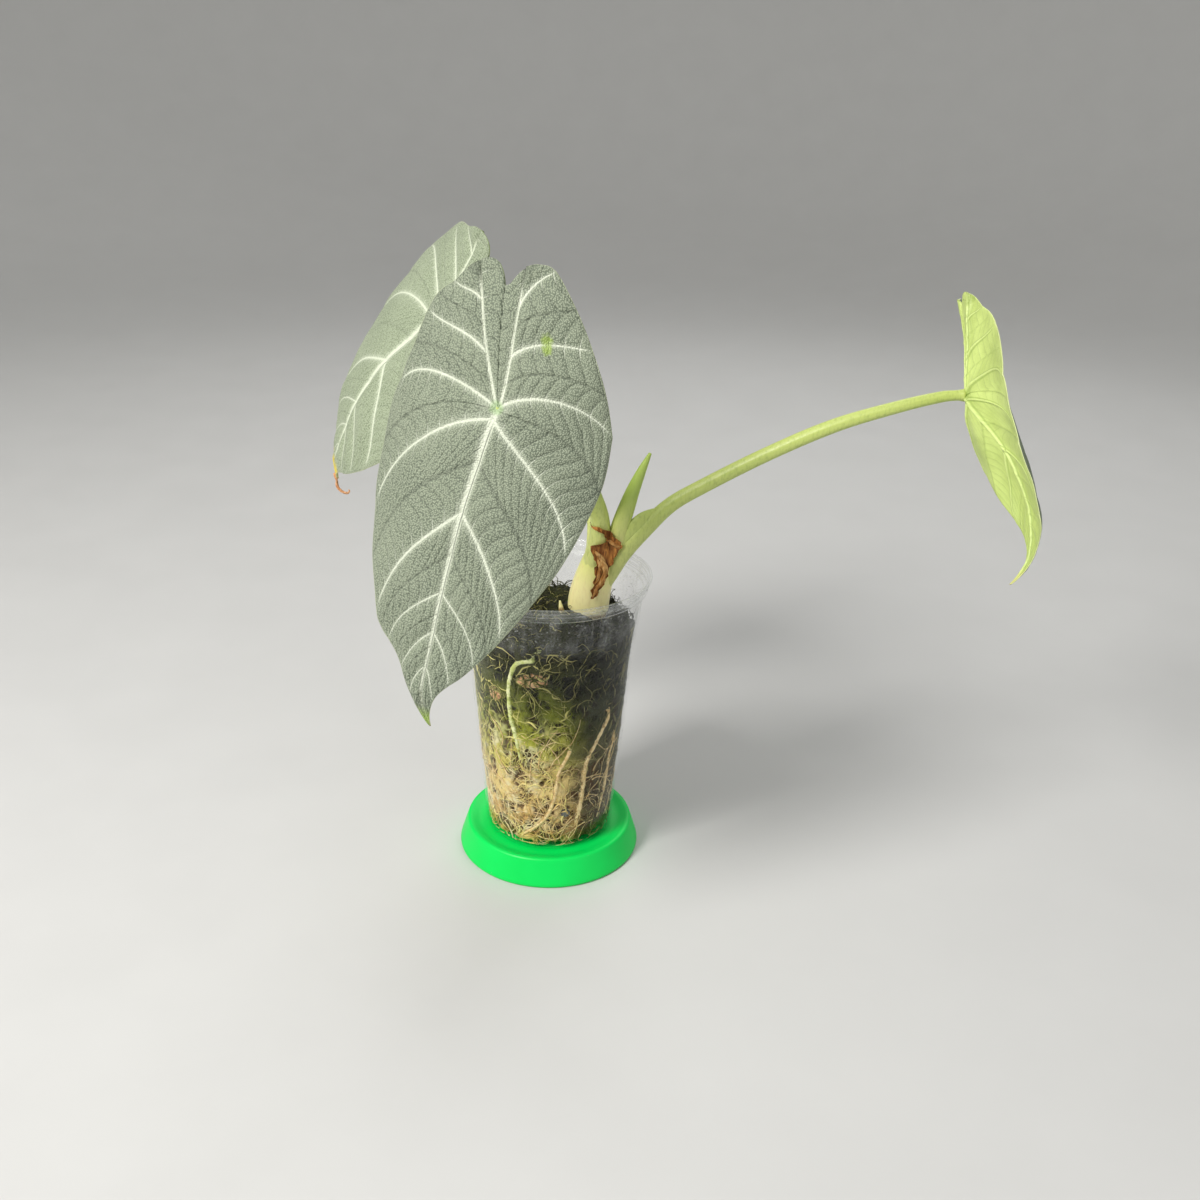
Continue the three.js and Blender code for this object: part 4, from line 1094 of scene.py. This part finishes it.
def stem_section(turn, length):
    """The stem's foot is a bundle of sheaths, so it has a soft fold on one side."""
    fold = 0.05 * np.cos(turn - 2.2) + 0.04 * np.cos(2 * turn + 0.6)
    rings = 0.02 * np.sin(length / 2.1) * smooth_step(length, 24, 12)
    return 1 + fold + rings + 0.012 * np.cos(11 * turn)


def spear_section(turn, length):
    """A rolled leaf: its outer edge stands up a little in a slow spiral."""
    part = ((turn - length * 0.035 + 1.1) / (2 * math.pi)) % 1
    return 0.93 + 0.16 * part**3


make_rod("stem_foot", smooth_path(STALKS["stem_base"], 0.5), STEM, ["stem_base"], 56, stem_section)
for side in ("front", "back", "right"):
    make_rod(side + "_leaf_stalk", leaf_stalk("stalk_" + side, "leaf_" + side), STALK,
             ["stalk_" + side], section=stalk_section)
make_rod("right_stalk_wing", smooth_path(SHEATH_WING, 0.4), STALK, section=wing_section, first=30)
make_rod("basal_shoot", smooth_path(SHOOT, 0.4), STEM, sides=20, first=8)
make_rod("new_leaf_spear", smooth_path(STALKS["spear"], 0.4), SPEAR, ["spear"], 60,
         spear_section)


# Cup and saucer

def rounded(profile, spacing=0.5):
    """Adds points along a profile's long straight stretches, so that its surface stays even."""
    fine = [profile[0]]
    for start, end in zip(profile, profile[1:]):
        count = max(1, int(math.hypot(end[0] - start[0], end[1] - start[1]) / spacing))
        for k in range(1, count + 1):
            fine.append([low + (high - low) * k / count for low, high in zip(start, end)])
    return fine


def make_saucer():
    profile = [
        (0, 0), (40.6, 0), (41.7, 0), (42.4, 0.25), (42.8, 0.7), (42.9, 1.3), (42.6, 2.4),
        (41.9, 4.6), (40.9, 7.8), (39.9, 10.8), (39.4, 12.4), (39.1, 13), (38.6, 13.3), (38, 13.35),
        (37, 13.2), (35.5, 12.7), (34, 12.25), (32.6, 12.03), (31.5, 12), (0, 12),
    ]
    points, faces = spin(rounded(profile, 2.5), 180)
    make_piece("saucer_dish", points, faces, [SAUCER], ["saucer"])


def make_cup():
    """Thin wall with a stepped collar, slightly uneven like any moulded cup."""
    foot = [(0, 0), (26, 0), (28.3, 0.1), (29.4, 0.5), (30, 1.2)]
    outside = [(radius, POT_FOOT + height) for radius, height in foot]
    heights = np.linspace(14.6, 131.5, 50)
    wall = wall_radius(heights)
    collar = [
        (41.2, 132.2), (41.6, 132.7), (42.6, 133), (43.2, 133.3), (43.4, 133.8), (43.5, 134.9),
        (43.35, 135.5), (43.1, 135.9), (43.4, 136.3), (44, 136.7), (44.3, 137.2), (44.45, 137.9),
        (44.8, 138.3), (45, 138.7), (45, 139.1), (44.8, 139.4), (44.4, 139.5), (43.9, 139.45),
        (43.6, 139.1), (43.3, 138.2), (43.1, 137.3), (42.6, 136.7), (42.35, 135.9), (42.3, 134.6),
        (42, 134.1), (41, 133.7), (40.4, 133.2),
    ]
    inside = zip(wall[::-1] - WALL, heights[::-1] + 0.2)
    floor = [(28.6, POT_FOOT + 1.3), (27, POT_FOOT + 1.1), (0, POT_FOOT + 1.1)]

    def ripple(height, turn):
        strength = 0.12 * smooth_step(height, 20, 60) * smooth_step(height, 131, 110)
        return strength * np.sin(3 * turn + height / 40)

    points, faces = spin([*outside, *zip(wall, heights), *collar, *inside, *floor], 168, ripple)
    make_piece("clear_cup", points, faces, [CUP], ["pot"])


def make_dew():
    """Beads of water on the inside of the cup above the moss."""
    random = np.random.default_rng(7)
    number = 420
    sides = 8
    heights = random.uniform(119.5, 131, number)
    turns = random.uniform(0, 2 * math.pi, number)
    sizes = random.uniform(0.18, 0.5, number) ** 1.2
    circle = full_turn(sides)[:, None]
    up = np.array([0, 0, 1])
    parts = []
    for height, turn, size in zip(heights, turns, sizes):
        outward = round_axis(1, turn, 0)
        centre = outward * (wall_radius(height) - WALL - 0.02) + height * up
        around = np.cos(circle) * np.cross(up, outward) + np.sin(circle) * up
        rings = [centre + around * size * reach - outward * size * depth
                 for reach, depth in ((1, 0), (0.8, 0.4), (0.4, 0.62))]
        parts.append(closed_grid(np.concatenate(rings), sides, [centre, centre - outward * size * 0.68]))
    points, faces = joined(parts)
    make_piece("dew_beads", points, faces, [DEW])


make_saucer()
make_cup()
make_dew()


# Moss and what lies in it

def moss_height(x, y):
    """Height of the moss, which rises in a mound round the stem's foot."""
    mound = 4.5 * np.exp(-((x - STEM_FOOT[0]) ** 2 + (y - STEM_FOOT[1]) ** 2) / 230)
    return MOSS_TOP + mound + 0.05 * y - 0.03 * x + 1.3 * (
        np.sin(0.11 * x + 0.8) * np.cos(0.1 * y - 0.5) + 0.8 * np.sin(0.24 * x + 0.2 * y)
        + 0.5 * np.sin(0.41 * x - 0.37 * y + 1)
    )


def chip_dents(turn, height):
    """How deep the moss is pressed in before the chips and the pebble."""
    dents = 0 * turn
    for angle, middle, size, _ in CHIPS.values():
        off = (turn - math.radians(angle) + math.pi) % (2 * math.pi) - math.pi
        across = off * wall_radius(height) * 1.6 / size[0]
        up = (height - middle) * 1.6 / size[2]
        dents = dents + 1.8 * np.exp(-(across**2) - up**2)
    return dents


def make_moss_core():
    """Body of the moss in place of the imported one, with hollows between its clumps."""
    segments = 300
    foot = 14.6
    turn = full_turn(segments)
    inner = wall_radius(MOSS_TOP) - WALL - 1.0
    points = []
    depths = []
    for part in np.linspace(0.02, 1, 46) ** 0.8:
        x, y, _ = round_axis(inner * part, turn, 0).T
        base = np.stack([x, y, moss_height(x, y)], axis=-1)
        hollow = lumps(base, 5, 2) * 0.5 + lumps(base, 2.1, 3) * 0.35 + lumps(base, 0.9, 4) * 0.15
        edge = 1.5 * smooth_step(part, 0.9, 1.0)
        points.append(base + np.stack([0 * x, 0 * y, (hollow - 0.5) * 4.5 - edge], axis=-1))
        depths.append(1 - hollow)
    for height in [*np.linspace(113, 16, 116), foot]:
        inset = 1.9 if height == foot else 0.7
        radius = wall_radius(height) - WALL - inset - chip_dents(turn, height)
        base = round_axis(radius, turn, height)
        hollow = lumps(base, 6, 5) * 0.45 + lumps(base, 2.4, 6) * 0.35 + lumps(base, 1.0, 7) * 0.2
        hollow = smooth_step(hollow, 0.3, 0.62)
        points.append(round_axis(radius - 2.4 * (1 - hollow), turn, height))
        depths.append(1 - hollow)
    ends = [[0, 0, moss_height(0, 0)], [0, 0, foot]]
    points, faces = closed_grid(np.concatenate(points), segments, ends, flip=True)
    make_piece("moss_body", points, faces, [MOSS_CORE], ["moss"],
               attributes={"depth": np.concatenate([*depths, [0.5, 0.5]])})


def wall_strands(number, steps, length, radius, seed, heights=(15, 114), upright=0.5):
    """Strands that wander over the inside of the cup's wall."""
    random = np.random.default_rng(seed)
    turn = random.uniform(0, 2 * math.pi, number)
    height = random.uniform(*heights, number)
    heading = random.uniform(0, 2 * math.pi, number)
    heading = np.where(random.random(number) < upright, random.normal(math.pi / 2, 0.5, number), heading)
    bend = random.normal(0, 0.12, number)
    step = random.uniform(0.6, 1.4, number) * length / steps
    paths = np.empty((number, steps, 3))
    sink = random.uniform(0, 0.7, number)
    for k in range(steps):
        middle = wall_radius(height) - WALL - 0.12 - radius
        reach = middle - sink - 0.25 * (1 + np.sin(k * 0.9 + turn * 9)) * random.uniform(0.2, 1, number)
        paths[:, k] = round_axis(reach, turn, height)
        heading = heading + bend + random.normal(0, 0.22, number)
        turn = turn + step * np.cos(heading) / middle
        height = np.clip(height + step * np.sin(heading), 14.2, 116)
    return paths


def make_moss_strands():
    """Broad and fine strands of moss against the wall, each with its own tint."""
    sets = [
        ("moss_strands_broad", 1250, 9, 9, 0.4, 11, (15, 114), 0.3, 5),
        ("moss_strands_fine", 2150, 10, 13, 0.17, 12, (14.5, 114), 0.45, 4),
    ]
    for name, number, steps, length, radius, seed, heights, upright, sides in sets:
        paths = wall_strands(number, steps, length, radius, seed, heights, upright)
        random = np.random.default_rng(seed + 100)
        taper = np.sin(np.linspace(0.35, 2.8, steps))
        thick = radius * random.uniform(0.6, 1.3, number)[:, None] * taper
        points, faces = strands(paths, thick, sides)
        tint = np.repeat(random.random(number), steps * sides)
        make_piece(name, points, faces, [MOSS_STRAND], attributes={"tint": tint})


def make_moss_tufts():
    """Short sprigs on the top of the moss, rooted clear of the stem."""
    random = np.random.default_rng(31)
    number = 1300
    steps = 7
    reach = np.sqrt(random.uniform(0, 1, number)) * 37
    turn = random.uniform(0, 2 * math.pi, number)
    x, y, _ = round_axis(reach, turn, 0).T
    clear = np.hypot(x - STEM_FOOT[0], y - STEM_FOOT[1]) > 10
    x = x[clear]
    y = y[clear]
    number = len(x)
    heading = random.uniform(0, 2 * math.pi, number)
    length = random.uniform(2.5, 7.5, number)
    rise = random.uniform(0.25, 1.0, number)
    foot = np.stack([x, y, moss_height(x, y) - 1], axis=-1)
    paths = np.empty((number, steps, 3))
    for k in range(steps):
        part = k / (steps - 1)
        out = length * part * (0.5 + 0.5 * part)
        up = length * rise * np.sin(part * 2.2) * 0.8
        swing = heading + part * random.normal(0, 0.25, number)
        paths[:, k] = foot + np.stack([out * np.cos(swing), out * np.sin(swing), up], axis=-1)
    limit = wall_radius(paths[..., 2]) - WALL - 0.6
    spread = np.hypot(paths[..., 0], paths[..., 1])
    paths[..., :2] *= np.minimum(1, limit / np.maximum(spread, 1e-6))[..., None]
    thick = random.uniform(0.12, 0.36, number)[:, None] * np.linspace(1, 0.3, steps)[None, :]
    points, faces = strands(paths, thick)
    tint = np.repeat(random.random(number) ** 1.6 * 0.85, steps * 4)
    make_piece("moss_sprigs", points, faces, [MOSS_STRAND], attributes={"tint": tint})


def root_path(radius, start, path):
    """A root leaves the foot of the stem, runs out to the wall and then follows it."""
    foot = np.array(STALKS["stem_base"][0][:2])

    def place(degrees, height, inset):
        reach = wall_radius(height) - WALL - 0.2 - radius - inset
        return [*round_axis(reach, math.radians(degrees), height), radius]

    rise = min(7, start - path[0][1])
    approach = place(path[0][0], path[0][1] + rise, 4)
    heading = unit(np.array(approach[:2]) - foot)
    points = [[*(foot + 4 * heading), start, radius], approach]
    points += [place(degrees, height, 0) for degrees, height in path]
    points[-1][3] = radius * 0.45
    return smooth_path(points, 0.7)


def make_roots():
    """Knotty roots. The first has turned green in the light."""
    for name, (radius, start, path) in ROOTS.items():
        route = root_path(radius, start, path)
        step = np.arange(len(route))
        route[:, 3] *= 1 + 0.12 * np.sin(step * 0.9) * np.sin(step * 0.23 + radius * 40)
        make_rod(name + "_skin", route, ROOT_GREEN if name == "root_1" else ROOT, [name], 14)
    make_side_roots()


def make_side_roots():
    """Fine rootlets that branch over the wall, thickest near the foot."""
    low = wall_strands(90, 16, 24, 0.2, 41, (16, 58), 0.7)
    level = wall_strands(70, 14, 20, 0.16, 42, (18, 76), 0.0)
    random = np.random.default_rng(43)
    parts = []
    for paths, size in ((low, 0.3), (level, 0.2)):
        number, steps, _ = paths.shape
        thick = size * random.uniform(0.5, 1.2, number)[:, None] * np.linspace(1, 0.4, steps)[None, :]
        paths[..., :2] *= 1.006
        parts.append(strands(paths, thick, 5))
    points, faces = joined(parts)
    make_piece("fine_roots", points, faces, [ROOT])


def make_chips():
    """Bark chips and pebble as roughened blocks with rounded corners."""
    rows = 30
    columns = 48
    finishes = {"bark_chip_1": (BARK, "bark"), "bark_chip_2": (BARK, "bark"), "pebble": (STONE, "stone")}
    u, v = np.meshgrid(full_turn(columns), np.linspace(0.02, math.pi - 0.02, rows))
    ball = round_axis(np.sin(v), u, np.cos(v))
    squared = np.sign(ball) * np.abs(ball) ** 0.6
    faces = grid_faces(rows, columns, flip=True, closed=True).tolist()
    faces.append(list(range(columns)))
    faces.append([(rows - 1) * columns + k for k in reversed(range(columns))])
    for name, (angle, height, (length, depth, tall), turn) in CHIPS.items():
        corner = length**2 / (8 * wall_radius(height))
        radius = wall_radius(height) - WALL - 0.3 - corner - 0.6 - depth / 2
        rough = 0.82 + 0.3 * lumps(ball * 2.4, 1, len(name)) + 0.14 * lumps(ball * 7, 1, 5)
        local = squared * rough[..., None] * np.array([depth, length, tall]) / 2
        tilt = Matrix.Rotation(math.radians(turn), 3, "X")
        spun = Matrix.Rotation(math.radians(angle), 3, "Z")
        points = local.reshape(-1, 3) @ np.array(tilt).T + (radius, 0, 0)
        points = points @ np.array(spun).T + (0, 0, height)
        finish, slot = finishes[name]
        make_piece(name + "_piece", points, faces, [finish], [name])


make_moss_core()
make_moss_strands()
make_moss_tufts()
make_roots()
make_chips()


# Dry sheath

def front_of_stalks(x, z):
    """Nearest face of the stem and stalks to the viewer at a place."""
    front = np.full(np.shape(x), 3.0)
    for name in ("stem_base", "stalk_front", "spear", "stalk_right"):
        for cx, cy, cz, radius in smooth_path(STALKS[name], 0.8):
            square = radius * radius - (x - cx) ** 2 - (z - cz) ** 2
            front = np.where(square > 0, np.minimum(front, cy - np.sqrt(np.maximum(square, 0))), front)
    return front


def make_dry_sheath():
    """Torn papery remains of an old sheath, crinkled and ragged at the edges."""
    rows = 90
    columns = 34
    levels, left, right = np.array(DRY_SHEATH).T
    heights = np.linspace(levels[0], levels[-1], rows)
    left = np.interp(heights, levels, left)
    right = np.interp(heights, levels, right)
    z, part = np.meshgrid(heights, np.linspace(0, 1, columns), indexing="ij")
    edge_noise = lumps(np.stack([z * 0, z, z * 0], axis=-1), 1.3, 8) - 0.5
    x = left[:, None] + (right - left)[:, None] * part + edge_noise * (np.abs(part - 0.5) * 2) ** 2 * 1.6
    crinkle = lumps(np.stack([x * 1.6, 0 * x, z * 0.5], axis=-1), 1.6, 9)
    curl = 1.3 * (np.abs(part - 0.5) * 2) ** 4
    y = front_of_stalks(x, z) - 0.35 - 0.7 * crinkle - curl * smooth_step(z, 129, 136)
    outer = np.stack([x, y, z], axis=-1).reshape(-1, 3)
    inner = np.stack([x, y + 0.28, z], axis=-1).reshape(-1, 3)
    points, faces, _ = thicken(outer, inner, grid_faces(rows, columns).tolist())
    make_piece("dry_sheath_scrap", points, faces, [DRY], ["dry_sheath"])


def make_sheath_curls():
    """Rolled edges of the dry sheath."""

    def section(turn, length):
        return 1 + 0.25 * np.cos(3 * turn + length) + 0.12 * np.cos(7 * turn)

    parts = []
    for curl in SHEATH_CURLS:
        route = smooth_path([(x, 0, z, radius) for x, z, radius in curl], 0.3)
        route[:, 1] = front_of_stalks(route[:, 0], route[:, 2]) - 0.9
        parts.append(tube(route[:, :3], route[:, 3], 20, section)[:2])
    points, faces = joined(parts)
    make_piece("dry_sheath_curls", points, faces, [CURLED])


make_dry_sheath()
make_sheath_curls()


# Camera, light and floor

def aim(thing, target):
    """Turns a light to face a place."""
    direction = Vector(target) - thing.location
    thing.rotation_euler = direction.to_track_quat("-Z", "Y").to_euler()


def make_camera():
    """The photograph's camera, fitted to the ellipses of the rim and the saucer."""
    camera = bpy.data.objects.new("camera", bpy.data.cameras.new("camera"))
    bpy.context.scene.collection.objects.link(camera)
    camera.data.lens = 36
    camera.data.sensor_width = 36
    camera.data.clip_start = 0.01
    pitch = math.radians(23)
    roll = math.radians(-1.59)
    level = Vector((1, 0, 0))
    down = Vector((0, -math.sin(pitch), -math.cos(pitch)))
    forward = Vector((0, math.cos(pitch), -math.sin(pitch)))
    right = level * math.cos(roll) + down * math.sin(roll)
    up = level * math.sin(roll) - down * math.cos(roll)
    turned = Matrix((right, up, -forward)).transposed().to_4x4()
    camera.matrix_world = Matrix.Translation((0.0218, -0.497, 0.3372)) @ turned
    bpy.context.scene.camera = camera


def make_light(name, place, target, size, power, tint=(1, 1, 1)):
    data = bpy.data.lights.new(name, "AREA")
    data.shape = "RECTANGLE"
    data.size, data.size_y = size
    data.energy = power
    data.color = tint
    light = bpy.data.objects.new(name, data)
    bpy.context.scene.collection.objects.link(light)
    light.location = place
    aim(light, target)


def make_stage():
    """Pale floor that sweeps up into a round backdrop, and even light from all round."""
    floor = Finish("studio_floor", {"Specular IOR Level": 0.2})
    grain = floor.noise(floor.place(), 60, 3)
    floor.set(Base_Color=floor.mix(grain, (0.6, 0.6, 0.59, 1), (0.64, 0.64, 0.63, 1)),
              Roughness=floor.fade(grain, 0.3, 0.7, 0.6, 0.75))
    sweep = [(0, 0), (900, 0), (1500, 0), (1900, 60), (2200, 260), (2380, 600), (2450, 1100), (2450, 2400)]
    profile = smooth_path([(*point, 0) for point in sweep], 60)[:, :2]
    segments = 96
    points = round_axis(profile[:, :1], full_turn(segments), np.clip(profile[:, 1:], 0, None)).reshape(-1, 3)
    faces = grid_faces(len(profile), segments, closed=True).tolist()
    mesh = bpy.data.meshes.new("studio_sweep")
    mesh.from_pydata((points * MM).tolist(), [], faces)
    mesh.shade_smooth()
    mesh.materials.append(floor.material)
    sweep_object = bpy.data.objects.new("studio_sweep", mesh)
    bpy.context.scene.collection.objects.link(sweep_object)
    world = bpy.data.worlds.new("studio")
    world.use_nodes = True
    background = world.node_tree.nodes["Background"]
    background.inputs[0].default_value = (0.92, 0.92, 0.9, 1)
    background.inputs[1].default_value = 0.48
    bpy.context.scene.world = world
    bpy.context.scene.view_settings.view_transform = "Standard"


make_camera()
make_light("key_light", (-0.7, -0.75, 1.0), (0.02, -0.03, 0.16), (0.4, 0.4), 19, (1, 0.98, 0.95))
make_light("fill_light", (0.95, -0.9, 0.6), (0.05, 0, 0.15), (0.8, 0.8), 1.8, (0.95, 0.98, 1))
make_light("back_light", (0.3, 1.0, 1.1), (0.05, 0, 0.18), (0.8, 0.5), 5)
make_stage()
